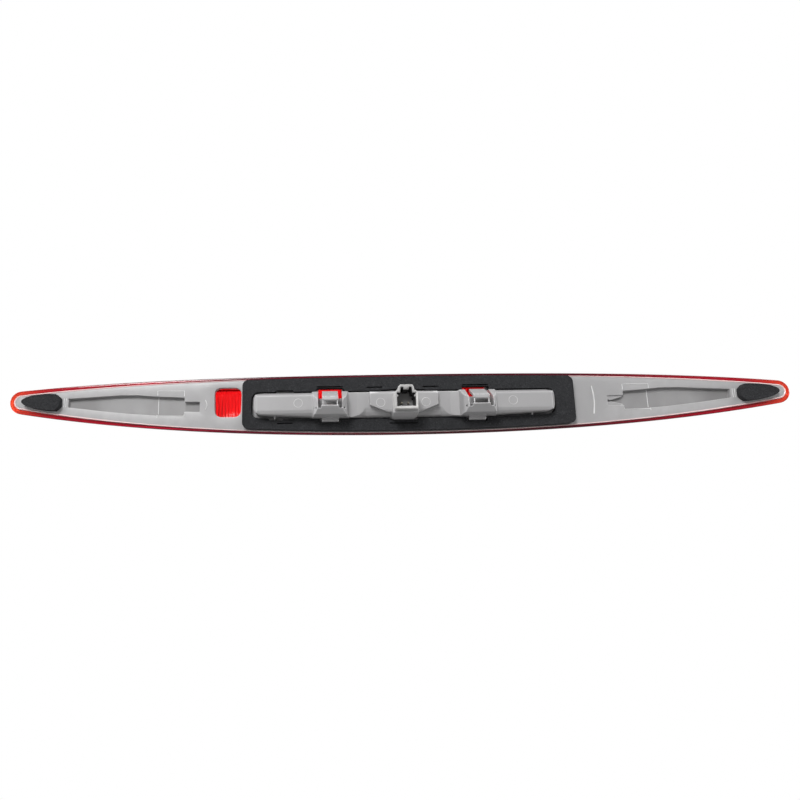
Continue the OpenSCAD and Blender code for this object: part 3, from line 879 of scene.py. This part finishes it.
# %% Geometry Nodes: flutes
def geometry_tree(name, inputs):
    tree = bpy.data.node_groups.new(name, "GeometryNodeTree")
    tree.interface.new_socket("Geometry", in_out="INPUT", socket_type="NodeSocketGeometry")
    for label, kind, value in inputs:
        socket = tree.interface.new_socket(label, in_out="INPUT", socket_type="NodeSocket" + kind)
        if value is not None:
            socket.default_value = value
    tree.interface.new_socket("Geometry", in_out="OUTPUT", socket_type="NodeSocketGeometry")
    return tree, tree.nodes.new("NodeGroupInput"), tree.nodes.new("NodeGroupOutput")


def closing_nodes(tree, geometry, finish, result):
    """Every tree ends by making instances real and setting the finish."""
    real = wired(tree, "GeometryNodeRealizeInstances", [("Geometry", geometry)])
    paint = wired(tree, "GeometryNodeSetMaterial", [
        ("Geometry", real.outputs[0]), ("Material", finish)])
    tree.links.new(paint.outputs[0], result.inputs["Geometry"])


def grown(piece, tree, **values):
    """Runs a tree on a piece with named inputs and turns the result into a plain mesh."""
    step = piece.modifiers.new("grow", "NODES")
    step.node_group = tree
    for item in tree.interface.items_tree:
        if item.in_out == "INPUT" and item.name in values:
            step[item.identifier] = values[item.name]
    return settle(piece)


tree, given, result = geometry_tree("lens_flutes", [
    ("Pitch", "Float", flute_pitch * MM), ("Depth", "Float", flute_depth * MM)])
parts = wired(tree, "ShaderNodeSeparateXYZ", [
    (0, wired(tree, "GeometryNodeInputPosition").outputs[0])])
turns = computed(tree, "DIVIDE", parts.outputs["X"], given.outputs["Pitch"])
wave = computed(tree, "COSINE", computed(tree, "MULTIPLY", turns, math.tau))
weight = wired(tree, "GeometryNodeInputNamedAttribute", [
    ("Name", "flute_weight")], data_type="FLOAT")
height = computed(tree, "MULTIPLY", wave, given.outputs["Depth"])
masked = computed(tree, "MULTIPLY", height, weight.outputs["Attribute"])
offset = wired(tree, "ShaderNodeCombineXYZ", [("Y", masked)])
lift = wired(tree, "GeometryNodeSetPosition", [
    ("Geometry", given.outputs["Geometry"]), ("Offset", offset.outputs[0])])
closing_nodes(tree, lift.outputs[0], red, result)
grown(lens, tree, Pitch=flute_pitch * MM, Depth=flute_depth * MM)
print("flutes:", int(2 * half_width / flute_pitch))
fitted(lens, "lamp", "outer_lens")

# %% [markdown]
# ## The weld bead
#
# Carrier and lens are welded by vibration, and a thin glossy line of melted plastic shows between
# them. It is a ring with a round top, a little uneven in width, which a slow noise gives it.

# %% Weld bead
bead_outer = outline(rim_end, rim_top, rim_bottom)
bead_spread = 1.1
bead_inner = outline(rim_end + bead_spread, rim_top + bead_width, rim_bottom + bead_width)
bead_profile = [
    (0.0, -1.0), (0.0, 0.4), (0.2, 0.75), (0.5, 0.88), (0.8, 0.75), (1.0, 0.5), (1.0, -1.0)]
bm = bmesh.new()
rings = []
for share, rise in bead_profile:
    points = []
    for (x0, z0), (x1, z1) in zip(bead_outer, bead_inner):
        points.append((x0 + (x1 - x0) * share, z0 + (z1 - z0) * share))
    ring = ring_of(bm, points, rim_y + rise)
    for vert in ring:
        if rise > 0:
            vert.co.y += 0.12 * noise.noise((vert.co.x * 0.35, vert.co.z * 0.35, 2.0))
    rings.append(ring)
loft(bm, rings + rings[:1])
bend(bm)
bead = dressed(finished("weld_line", bm), bead_finish)
fitted(bead, "lamp", "weld_bead")

# %% [markdown]
# ## The carrier's plate
#
# The plate is a thin moulding with two long recesses, where solid plastic would sink, a window and
# two openings behind the clips. It is a bowed slab whose holes have small lips. The toolmaker's
# inserts leave fine raised lines round a recess, which are real and give the plate its scale.

# %% Plate
recess_depth = 3.2
recess_floor_y = plate_y - recess_depth
plate_thick = 3.8


def recess_corners(side, neck_x, shoulder_x):
    """A narrow neck, a square shoulder, and a long body that narrows towards the tip."""
    upper = [(neck_x, 2.2), (shoulder_x, 2.2), (shoulder_x, 5.2), (173, 5.8), (186, 6.6),
             (197, 6.4), (233.5, 3.3)]
    lower = [(233.5, -2.8), (210, -5.3), (190, -7.0), (173, -7.9), (shoulder_x, -8.0),
             (shoulder_x, -5.0), (neck_x, -5.0)]
    corners = [(side * x, z + arch(x)) for x, z in upper + lower]
    return corners if side < 0 else corners[::-1]


recesses = [dense(rounded(recess_corners(side, neck_x, shoulder_x), 0.6, 3), 6)
            for side, neck_x, shoulder_x in ((1, 141.9, 152.8), (-1, 149, 160))]
window_arch = arch(122.4)
window_corners = [(112.7, -8.8), (131.2, -8.8), (131.7, 12.6), (112.2, 12.6)]
window = rounded([(x, z + window_arch) for x, z in window_corners], 5.4, 8)
hole_half = 8.3           # half the width of the opening that a clip's tongue swings into
hole_low, hole_high = 4.3, 12.6
clip_openings = [dense(box_points(x - hole_half, x + hole_half, hole_low, hole_high), 4)
                 for x in clip_centres.values()]
plate_outline = outline(rim_end + bead_width, rim_top + bead_width, rim_bottom + bead_width)
bm = bmesh.new()
plate_holes = [(contour, recess_floor_y) for contour in recesses]
plate_holes += [(contour, None) for contour in [window] + clip_openings]
slab(bm, plate_outline, plate_holes, plate_y, plate_y - plate_thick, 0.35, 7)
bend(bm)
plate = dressed(finished("carrier_plate", bm, 30), grey)
fitted(plate, "lamp", "housing")

# %% [markdown]
# ## Foam gasket and end pads
#
# The gasket is cut from foam sheet by a steel-rule die, which leaves upright walls, small lips and
# a face that is never quite flat. It is the same slab as the plate, with a finer net of spare
# points that a slow noise lifts a little. The pores are left to the finish.

# %% Gasket contours
gasket_inset = bead_width + 0.4
gasket_corner = 4.5
gasket_middle = (gasket_low.x + gasket_high.x) / 2
gasket_reach = (gasket_high.x - gasket_low.x) / 2


def gasket_edge(x, up):
    inset = blend(rim_top if up > 0 else rim_bottom, rim_end, x) + gasket_inset
    return arch(x) + up * (half_height(x) - inset)


def arc(centre_x, centre_z, radius, start, end, steps=7):
    angles = [math.radians(start + (end - start) * k / steps) for k in range(steps + 1)]
    return [(centre_x + radius * math.cos(a), centre_z + radius * math.sin(a)) for a in angles]


def gasket_contour(spacing=3.0):
    right = gasket_middle + gasket_reach - gasket_corner
    left = gasket_middle - gasket_reach + gasket_corner
    count = int((right - left) / spacing)
    along = [left + (right - left) * k / count for k in range(1, count)]
    lower = [(x, gasket_edge(x, -1)) for x in along]
    upper = [(x, gasket_edge(x, 1)) for x in reversed(along)]
    r = gasket_corner
    return (
        arc(left, gasket_edge(left, -1) + r, r, 180, 270) + lower
        + arc(right, gasket_edge(right, -1) + r, r, 270, 360)
        + arc(right, gasket_edge(right, 1) - r, r, 0, 90) + upper
        + arc(left, gasket_edge(left, 1) - r, r, 90, 180)
    )


pod_opening = [
    (-107.6, -9.6), (-clip_reach - 14, -11.1), (-clip_reach - 7.4, -11.3), (-clip_reach - 7.0, -13.9),
    (-clip_reach + 7.0, -13.9), (-clip_reach + 7.4, -11.3), (-10.4, -11.4), (-9.6, -12.4),
    (9.6, -12.4), (10.4, -11.4), (clip_reach - 7.4, -11.3), (clip_reach - 7.0, -13.9),
    (clip_reach + 7.0, -13.9), (clip_reach + 7.4, -11.3), (clip_reach + 14, -11.1), (85, -10.9),
    (86, -12.0), (94.6, -11.7), (95.4, -10.3), (107.6, -9.6),
    (107.6, 8.6), (91, 8.8), (90, 9.9), (78.5, 9.9), (77.5, 8.8), (clip_reach + 10.4, 8.9),
    (clip_reach + 9.2, 11.1), (clip_reach - 9.2, 11.1), (clip_reach - 10.4, 8.9), (17, 8.9),
    (16, 9.5), (11, 9.6), (7, 10.1), (-7, 10.1), (-11, 9.6), (-16, 9.5), (-17, 8.9),
    (-clip_reach + 10.4, 8.9), (-clip_reach + 9.2, 11.1), (-clip_reach - 9.2, 11.1),
    (-clip_reach - 10.4, 8.9), (-107.6, 8.6),
]
opening_radii = [6 if abs(x) > 100 else 0.6 for x, z in pod_opening]


def slit(x, z, width, height):
    corners = box_points(x - width / 2, x + width / 2, z - height / 2, z + height / 2)
    return rounded([(a + core_x, b) for a, b in corners], height * 0.45, 3)


slits = [slit(sign * clip_reach, 12.1, 18.5, 0.8) for sign in (-1, 1)]
slits += [slit(20, 11.4, 11, 0.7), slit(-20, 11.4, 11, 0.7)]
slits += [slit(0, -14.6, 20, 0.6), slit(84, -13.8, 11, 0.6)]
print(len(pod_opening), "corners round the pod,", len(slits), "slits in the foam")

# %% [markdown]
# `rounded` takes one radius for each corner, so the gasket's opening can have large outer corners
# and small inner ones. The foam is cut flat and stuck on dry, so it needs no cloth simulation: a
# slow noise lifts its face here and there, and its walls stay upright.

# %% Gasket and pads
def softened(bm, top, amount):
    """Lifts the face of a foam slab by a slow noise and leaves the walls upright."""
    for vert in bm.verts:
        if vert.co.y > top - 0.01:
            wave = noise.noise((vert.co.x * 0.09, vert.co.z * 0.13, 1.0))
            ripple = noise.noise((vert.co.x * 0.45, vert.co.z * 0.45, 5.0))
            vert.co.y += amount * (0.7 * wave + 0.3 * ripple) - amount * 0.4


bm = bmesh.new()
opening = [(x + core_x, z) for x, z in rounded(pod_opening, opening_radii, 4)]
gasket_holes = [(contour, None) for contour in [dense(opening, 4)] + slits]
slab(bm, gasket_contour(), gasket_holes, 0.0, plate_y - 0.1, 0.28, 2.6)
softened(bm, 0.0, 0.35)
bend(bm)
gasket = dressed(finished("foam_gasket", bm, 40), foam)
fitted(gasket, "lamp", "main_gasket")

pad_thick = 4.5
pad_half_height = 5.9
pad_shoulder = pad_low.x + 3.2


def pad_contour(side):
    """Half an ellipse towards the tip, and a blunt inner end with cut corners."""
    corners = [(pad_low.x, 2.9), (pad_low.x, -2.9)]
    for k in range(37):
        angle = math.radians(-90 + 5 * k)
        x = pad_shoulder + (pad_high.x - pad_shoulder) * math.cos(angle)
        corners.append((x, pad_half_height * math.sin(angle)))
    radii = [1.2] * 3 + [0.3] * 35 + [1.2]
    points = [(x, z + arch(x)) for x, z in rounded(corners, radii, 2)]
    return points if side > 0 else [(-x, z) for x, z in reversed(points)]


for side, node in ((1, "left_end_pad"), (-1, "right_end_pad")):
    bm = bmesh.new()
    slab(bm, pad_contour(side), [], plate_y + pad_thick, plate_y - 0.1, 0.4, 2.2)
    softened(bm, plate_y + pad_thick, 0.3)
    bend(bm)
    pad = dressed(finished("foam_" + node, bm, 40), foam)
    fitted(pad, "lamp", node)

# %% [markdown]
# ## The pod, the clip cages and the foot of the socket
#
# These stand out of the plate and pass through the body panel. On the real moulding they are one
# skin with soft fillets. Each block below is the overlap of extrusions, as in the solid model, and
# the melting step joins them.

# %% Pod blocks
pod_root = plate_y - 1
pod_half = 105.5
arm_top = 9.0
hinge_y, hinge_z = 15.8, 0.4
root_radius = 1.0
ridge_y = 17.2
block_front = -4.0
tongue_half = 5.5
notch_reach = tongue_half - 0.6


def pod_arms():
    face = prism([
        (-pod_half, -4), (-pod_half + 1.6, -7), (-pod_half + 5, -8.4), (-58, -10.4), (58, -10.4),
        (pod_half - 5, -8.4), (pod_half - 1.6, -7), (pod_half, -4), (pod_half, 3.4),
        (pod_half - 1.6, 6.3), (pod_half - 5, 7.5), (-pod_half + 5, 7.5), (-pod_half + 1.6, 6.3),
        (-pod_half, 3.4)], "y", pod_root, arm_top + 5)
    section = prism([
        (pod_root - 1, -12), (arm_top - 4.6, -12), (arm_top - 4.4, -10.6), (arm_top - 2.2, -9.4),
        (arm_top - 0.8, -8.0), (arm_top, -6.0), (arm_top, 4.3), (arm_top - 1, 5.3), (2.2, 7.5),
        (pod_root - 1, 7.5)], "x", -pod_half - 1, pod_half + 1)
    plan = prism([
        (-pod_half, pod_root - 1), (-pod_half, arm_top - 3), (-pod_half + 2.6, arm_top), (-62, arm_top),
        (-33, 3), (33, 3), (62, arm_top), (pod_half - 2.6, arm_top), (pod_half, arm_top - 3),
        (pod_half, pod_root - 1)], "z", -14, 12)
    arms = combined(face, [section, plan], "INTERSECT")
    return combined(arms, [waist_cut()] + wells(-clip_reach) + wells(clip_reach), "DIFFERENCE")


def waist_cut():
    """Rounds the lower edge of the waist and runs out of the ramps at a slant."""
    profile = [(5.4, -14), (5.4, -1.0), (3.4, -2.2), (2.8, -4.4), (1.8, -6.8), (0.2, -9.0),
               (-2.4, -10.8), (-2.4, -14)]
    bm = bmesh.new()
    rings = [[bm.verts.new((x, y + lift, z)) for y, z in profile]
             for x, lift in ((-43, 9), (-27, 0), (27, 0), (43, 9))]
    capped_loft(bm, rings)
    return as_object("work", bm)


def wells(x):
    """The pocket that a tongue moves in, and the opening through the carrier above it."""
    return [prism(box_points(x - hole_half, x + hole_half, low, hole_high), "y", start, 30)
            for low, start in ((block_front, -3), (hole_low, -30))]


def wing_blocks():
    """The two wings beside the socket, with slanted lower corners."""
    face = prism([
        (-24, 7.2), (-24, -2.6), (-11.6, -7.6), (11.6, -7.6), (24, -2.6), (24, 7.2)], "y", pod_root, 7)
    section = prism([
        (pod_root, -9), (5.8, -9), (7, -6), (7, 5.4), (5.2, 7.2), (pod_root, 7.2)], "x", -25, 25)
    return combined(face, [section], "INTERSECT")


def foot_block():
    """The sloping foot under the socket."""
    half = 8.8
    slope = prism([
        (pod_root, -12.4), (2.5, -12.4), (9, -11.4), (15.4, -9.6), (15.4, -7), (pod_root, -7)],
        "x", -half, half)
    corners = [(-half, -5), (-half, -12.2), (half, -12.2), (half, -5)]
    front = rounded(corners, [0.4, 3.0, 3.0, 0.4], 5)
    return combined(slope, [prism(front, "y", pod_root, 16)], "INTERSECT")


def cage_blocks(x):
    """A block with hipped ends below the tongue, and two cheeks beside it, wider at the base."""
    side_view = prism([
        (pod_root, -10.6), (8, -10.6), (12.6, -9.6), (ridge_y - 0.8, -5.4), (ridge_y, -4.4),
        (ridge_y - 0.4, -2.6), (14.6, 1.4), (5.6, 7.2), (4.6, 7.9), (pod_root, 7.9)], "x", x - 15, x + 15)
    plan = prism([
        (x - 14, pod_root), (x - 12.8, 3), (x - 11.4, 12), (x - 7.4, ridge_y + 0.2),
        (x + 7.4, ridge_y + 0.2), (x + 11.4, 12), (x + 12.8, 3), (x + 14, pod_root)], "z", -14, 14)
    cuts = wells(x)
    for s in (-1, 1):
        middle = x + s * (hole_half + tongue_half + 0.5) / 2
        cuts.append(prism(box_points(middle - 1.0, middle + 1.0, -5.8, -2.6), "y", -3.6, 30))
        dimple = x + s * 9.7
        cuts.append(prism(box_points(dimple - 0.5, dimple + 0.5, -6.0, -4.9), "y", 10.8, 30))
    return [combined(combined(side_view, [plan], "INTERSECT"), cuts, "DIFFERENCE")]


def post_blocks(x):
    """Two posts under the tongue's rolled root, hollowed so that it can turn in them."""
    posts = []
    for s in (-1, 1):
        middle = x + s * notch_reach
        side_view = box_points(hinge_y - 1.6, hinge_y + 0.8, -4.6, hinge_z - 0.7)
        post = prism(side_view, "x", middle - 0.4, middle + 0.4)
        seat = prism(arc(hinge_y, hinge_z, root_radius + 0.06, 0, 345, 23), "x", middle - 1, middle + 1)
        posts.append(combined(post, [seat], "DIFFERENCE"))
    return posts


def ledge_block(x):
    """The fixed hook at the lower edge of a clip."""
    return prism([(-2, -9), (-2, -11), (0.4, -13.4), (2.6, -13), (3.4, -8.6)], "x", x - 5.9, x + 5.9)


def rib_block(x):
    """A thin gusset at the lower edge of an arm."""
    return prism([
        (pod_root, -11.2), (0.5, -11.2), (3.5, -8.6), (3.5, -7.0), (pod_root, -7.0)],
        "x", x - 0.45, x + 0.45)


blocks = [pod_arms(), wing_blocks(), foot_block(), rib_block(91), rib_block(-90.5)]
for s in (-1, 1):
    blocks += cage_blocks(s * clip_reach) + post_blocks(s * clip_reach) + [ledge_block(s * clip_reach)]
for block in blocks:
    block.data.transform(Matrix.Translation((core_x, 0, 0)))
pod = dressed(melted("carrier_pod", blocks, 0.34, 4, 0.42), grey)
fitted(pod, "lamp", "housing")

# %% [markdown]
# ## Latch tongues
#
# Each tongue is a strip that leans back from a rolled root at the crest. It snaps behind the edge
# of the panel. One profile drawn from the side gives the whole strip, two notches leave room for
# the posts, and melting rounds the edges. It moves, so it is its own piece on its own body.

# %% Tongues
tongue_profile = [
    (hinge_y - 0.9, hinge_z - 1.4), (hinge_y + 0.7, hinge_z - 1.4), (hinge_y + 1.25, hinge_z - 0.6),
    (hinge_y + 0.7, hinge_z + 1.7), (4.8, 8.1), (3.6, 7.7), (4.1, 6.2), (hinge_y - 1.6, hinge_z + 0.5)]
for side, x in clip_centres.items():
    strip = prism(tongue_profile, "x", x - tongue_half, x + tongue_half)
    notch = box_points(hinge_y - 3, hinge_y + 2, hinge_z - 3.5, hinge_z - 0.3)
    middles = [x + s * notch_reach for s in (-1, 1)]
    notches = [prism(notch, "x", middle - 0.6, middle + 0.6) for middle in middles]
    strip = combined(strip, notches, "DIFFERENCE")
    root_circle = arc(hinge_y, hinge_z, root_radius, 0, 345, 23)
    root = prism(root_circle, "x", x - tongue_half, x + tongue_half)
    tongue = dressed(melted(side + "_tongue", [strip, root], 0.2, 3, 0.5), grey)
    fitted(tongue, side + "_latch", side + "_latch")

# %% [markdown]
# ## The plug socket
#
# A two-way plug enters here. The rim is a flat ring with small lips that catch the light. Two ribs
# and a key under the dome keep the plug the right way up. It is a slab with one blind hole.

# %% Socket
socket_top = socket_high.y
socket_outer = [
    (-7.9, -7.8), (7.9, -7.8), (7.9, 3.6), (7.0, 4.5), (5.6, 5.2), (5.2, 7.4), (4.1, 8.8),
    (-4.1, 8.8), (-5.2, 7.4), (-5.6, 5.2), (-7.0, 4.5), (-7.9, 3.6)]
half_cavity = [
    (0, -6), (3.2, -6), (3.3, -5.65), (4.0, -5.65), (4.1, -6), (6.4, -6), (6.4, 0.6), (5.5, 0.75),
    (5.5, 1.65), (6.4, 1.8), (6.4, 3.3), (4.3, 3.3), (3.7, 7.2), (2.0, 7.2), (1.6, 5.5)]
socket_cavity = half_cavity + [(-x, z) for x, z in reversed(half_cavity[1:])]
bm = bmesh.new()
outer = [(x + core_x, z) for x, z in rounded(socket_outer, 0.6, 3)]
cavity = [(x + core_x, z) for x, z in rounded(socket_cavity, 0.22, 2)]
socket_floor = 3.0
slab(bm, outer, [(cavity, socket_floor)], socket_top, socket_low.y, 0.42, 0)
socket_piece = dressed(finished("plug_socket_shell", bm, 40), socket_grey)
fitted(socket_piece, "lamp", "connector_socket")

# %% [markdown]
# Inside, the socket is dark with shade. A black lining paints that shade: a thin-walled sheet set
# into the cavity, in place of shade painted on the cavity's own walls. It leaves a grey rim of the
# right width and a real step.

# %% Black lining that paints the shade inside the socket
shade_lining_wall = 0.35
shade_lining_gap = 0.06
shade_lining_below_rim = 1.5
bm = bmesh.new()
lining = moved(cavity, -shade_lining_gap)
pocket = (moved(lining, -shade_lining_wall), socket_floor + 0.6)
slab(bm, lining, [pocket], socket_top - shade_lining_below_rim, socket_floor + 0.1, 0.1, 0)
# The black lining is painted shade: a dark sheet set where the cavity is in shade.
insert = dressed(finished("socket_insert", bm, 40), black)
fitted(insert, "lamp", "connector_socket")

# %% [markdown]
# ## What repeats: tool marks, insert lines, diodes and screws
#
# Ejector pins leave shallow rings on the moulding, and inserts leave fine raised lines. The board
# carries a row of diodes and three screws. Geometry Nodes place all of them: a small mesh of points
# or edges says where, and the tree says what.

# %% Geometry Nodes: lines along edges, and copies on points
def loose_mesh(name, points, edges=()):
    mesh = bpy.data.meshes.new(name)
    mesh.from_pydata([tuple(v * MM for v in p) for p in points], list(edges), [])
    piece = bpy.data.objects.new(name, mesh)
    scene.collection.objects.link(piece)
    return piece


def line_tree(name, finish):
    tree, given, result = geometry_tree(name, [("Thickness", "Float", 0.0003)])
    curve = wired(tree, "GeometryNodeMeshToCurve", [("Mesh", given.outputs["Geometry"])])
    section = wired(tree, "GeometryNodeCurvePrimitiveCircle", [("Resolution", 8)], mode="RADIUS")
    half = computed(tree, "MULTIPLY", given.outputs["Thickness"], 0.5)
    tree.links.new(half, section.inputs["Radius"])
    tube = wired(tree, "GeometryNodeCurveToMesh", [
        ("Curve", curve.outputs[0]), ("Profile Curve", section.outputs[0]), ("Fill Caps", True)])
    smooth = wired(tree, "GeometryNodeSetShadeSmooth", [("Geometry", tube.outputs[0])])
    closing_nodes(tree, smooth.outputs[0], finish, result)
    return tree


def copies_tree(name, finish):
    tree, given, result = geometry_tree(name, [("Template", "Object", None)])
    source = wired(tree, "GeometryNodeObjectInfo", [("Object", given.outputs["Template"])])
    place = wired(tree, "GeometryNodeInstanceOnPoints", [
        ("Points", given.outputs["Geometry"]), ("Instance", source.outputs["Geometry"])])
    closing_nodes(tree, place.outputs[0], finish, result)
    return tree


# %% Tool marks on the moulding
line_rise = 0.02


def on_plate(x):
    return plate_y + bow(x) + line_rise


def polyline(points, edges, run):
    edges += [(len(points) + i, len(points) + i + 1) for i in range(len(run) - 1)]
    points += run


def insert_lines(points, edges, side, inner_x, outer_x):
    """The rectangle that an insert leaves: it climbs in and out of the recess."""
    up = arch(outer_x)
    top, low = 9.8 + up, -8.3 + up
    near, far = on_plate(inner_x), on_plate(outer_x)
    deep = far - recess_depth
    x0, x1 = side * inner_x, side * outer_x
    for run in (
        [(x0, near, 5.9 + up), (x0, near, top), (x1, far, top), (x1, far, 6.5 + up)],
        [(x1, deep, 5.6 + up), (x1, deep, -6.6 + up)],
        [(x1, far, -7.6 + up), (x1, far, low - 1.2)],
        [(x1, far, low), (x0, near, low), (x0, near, -7.2 + up)],
    ):
        polyline(points, edges, run)


def bow_line(points, edges, x, z0, z1, curl):
    """An upright line across the plate that curls sideways by up to curl."""
    run = []
    for k in range(9):
        t = k / 8
        here = x + curl * math.sin(math.pi * t)
        run.append((here, on_plate(here), z0 + (z1 - z0) * t + arch(x)))
    polyline(points, edges, run)


points, edges = [], []
insert_lines(points, edges, 1, 152.8, 171.7)
insert_lines(points, edges, -1, 160.0, 178.0)
for side in (-1, 1):
    for x in (234.9, 236.3):
        bow_line(points, edges, side * x, -2.8, 3.6, 0.0)
bow_line(points, edges, 138.0, -3.6, 3.6, -1.2)
insert_marks = loose_mesh("insert_marks", points, edges)
# The raised lines and the flow ridge are grey plastic like the plate. Their pale colour is a painted
# highlight where light catches their round tops.
thin_lines = line_tree("raised_lines", pale_highlight_line)
grown(insert_marks, thin_lines, Thickness=0.00042)

points, edges = [], []
bow_line(points, edges, -138.5, -10.5, 9.5, -0.9)
flow_ridge = loose_mesh("flow_ridge", points, edges)
grown(flow_ridge, thin_lines, Thickness=0.0009)

points, edges = [], []
ring_radius = 3.0
ring_steps = 28
ring_angles = [math.tau * k / ring_steps for k in range(ring_steps)]
for x, y in ((74.0, arm_top), (-75.5, arm_top), (16.5, 7.0), (-15.2, 7.0)):
    start = len(points)
    points += [(core_x + x + ring_radius * math.cos(a), y - 0.06, ring_radius * math.sin(a) - 1)
               for a in ring_angles]
    edges += [(start + k, start + (k + 1) % ring_steps) for k in range(ring_steps)]
ejector_rings = loose_mesh("ejector_rings", points, edges)
grown(ejector_rings, line_tree("shallow_rings", grey), Thickness=0.0004)

for marks in (insert_marks, flow_ridge, ejector_rings):
    fitted(marks, "lamp", "housing")

# %% [markdown]
# One recess differs from its twin: two small ramps narrow its neck to a slot. They are solid
# plastic on the recess floor. Cutting them into the plate's slab would complicate its holes, so
# they are two blocks of their own, melted to round their edges and laid on the lamp's bow.

# %% Two ramps in the neck of one recess
neck_middle = -1.4
ramps = []
for up in (1, -1):
    corners = [(-148.8, 3.7), (-148.8, 0.9), (-152.0, 0.5), (-159.4, 2.6), (-159.4, 3.7)]
    face = [(x, neck_middle + up * rise + arch(x)) for x, rise in corners]
    ramp = prism(face, "y", recess_floor_y - 0.4, plate_y - 0.9)
    for vert in ramp.data.vertices:
        vert.co.y += bow(vert.co.x)
    ramps.append(ramp)
neck_ramps = dressed(melted("neck_ramps", ramps, 0.25, 3, 0.5), grey)
fitted(neck_ramps, "lamp", "housing")

# %% [markdown]
# The light unit is seen only through the lens and the window, so its pieces are small but true: a
# white package with a clear dome for each diode, and a pan-head screw with a cross recess.

# %% Diodes and screws
led_y = -10.6
led_z = 1.0
led_spots = [-94, -82, -70, -30, -18, -6, 6, 18, 30, 70, 82, 94]
screw_spots = [-88, 0, 88]
screw_z = -7.8


def turned(name, profile, steps, squares=False):
    """A round or square shape about the Y axis from (radius, y) points, in millimetres."""
    bm = bmesh.new()
    rings = []
    for radius, y in profile:
        ring = []
        for k in range(steps):
            across, up = (f(math.tau * (k + 0.5) / steps) for f in (math.cos, math.sin))
            reach = radius / max(abs(across), abs(up)) if squares else radius
            ring.append(bm.verts.new((reach * across, y, reach * up)))
        rings.append(ring)
    capped_loft(bm, rings)
    return finished(name, bm)


package_template = turned("package_template", [
    (1.5, 0), (1.5, -1.0), (1.4, -1.2), (1.12, -1.2), (0.95, -0.6)], 16, True)
dome_radius, dome_height = 1.08, 0.75
dome_angles = [math.radians(degrees) for degrees in (0, 20, 40, 60, 80)]
dome_template = turned("dome_template", [
    (dome_radius * math.cos(a), -0.6 - dome_height * math.sin(a)) for a in dome_angles], 20)
screw_template = turned("screw_template", [
    (0.89, 9.6), (0.89, 0), (2.0, 0), (2.0, -0.7), (1.75, -1.15), (1.2, -1.38), (0.6, -1.4)], 24)
slot_reach, slot_half = 1.1, 0.25
cross = [prism(box_points(-a, a, -b, b), "y", -3, -0.7)
         for a, b in ((slot_reach, slot_half), (slot_half, slot_reach))]
for tool in cross:
    tool.data.transform(Matrix.Scale(MM, 4))
combined(screw_template, cross, "DIFFERENCE")

led_places = [(core_x + x, led_y, led_z) for x in led_spots]
screw_places = [(core_x + x, led_y - 1.4, screw_z) for x in screw_spots]
for name, template, finish, places, node, slot_name in (
    ("diode_packages", package_template, white, led_places, "led_packages", "led_package"),
    ("diode_domes", dome_template, chip_clear, led_places, "led_chips", "led_chip"),
    ("board_screw_set", screw_template, steel, screw_places, "board_screws", "screw_steel"),
):
    row = loose_mesh(name, places)
    grown(row, copies_tree("copies_of_" + name, finish), Template=template)
    fitted(row, "lamp", node)
    bpy.data.objects.remove(template)
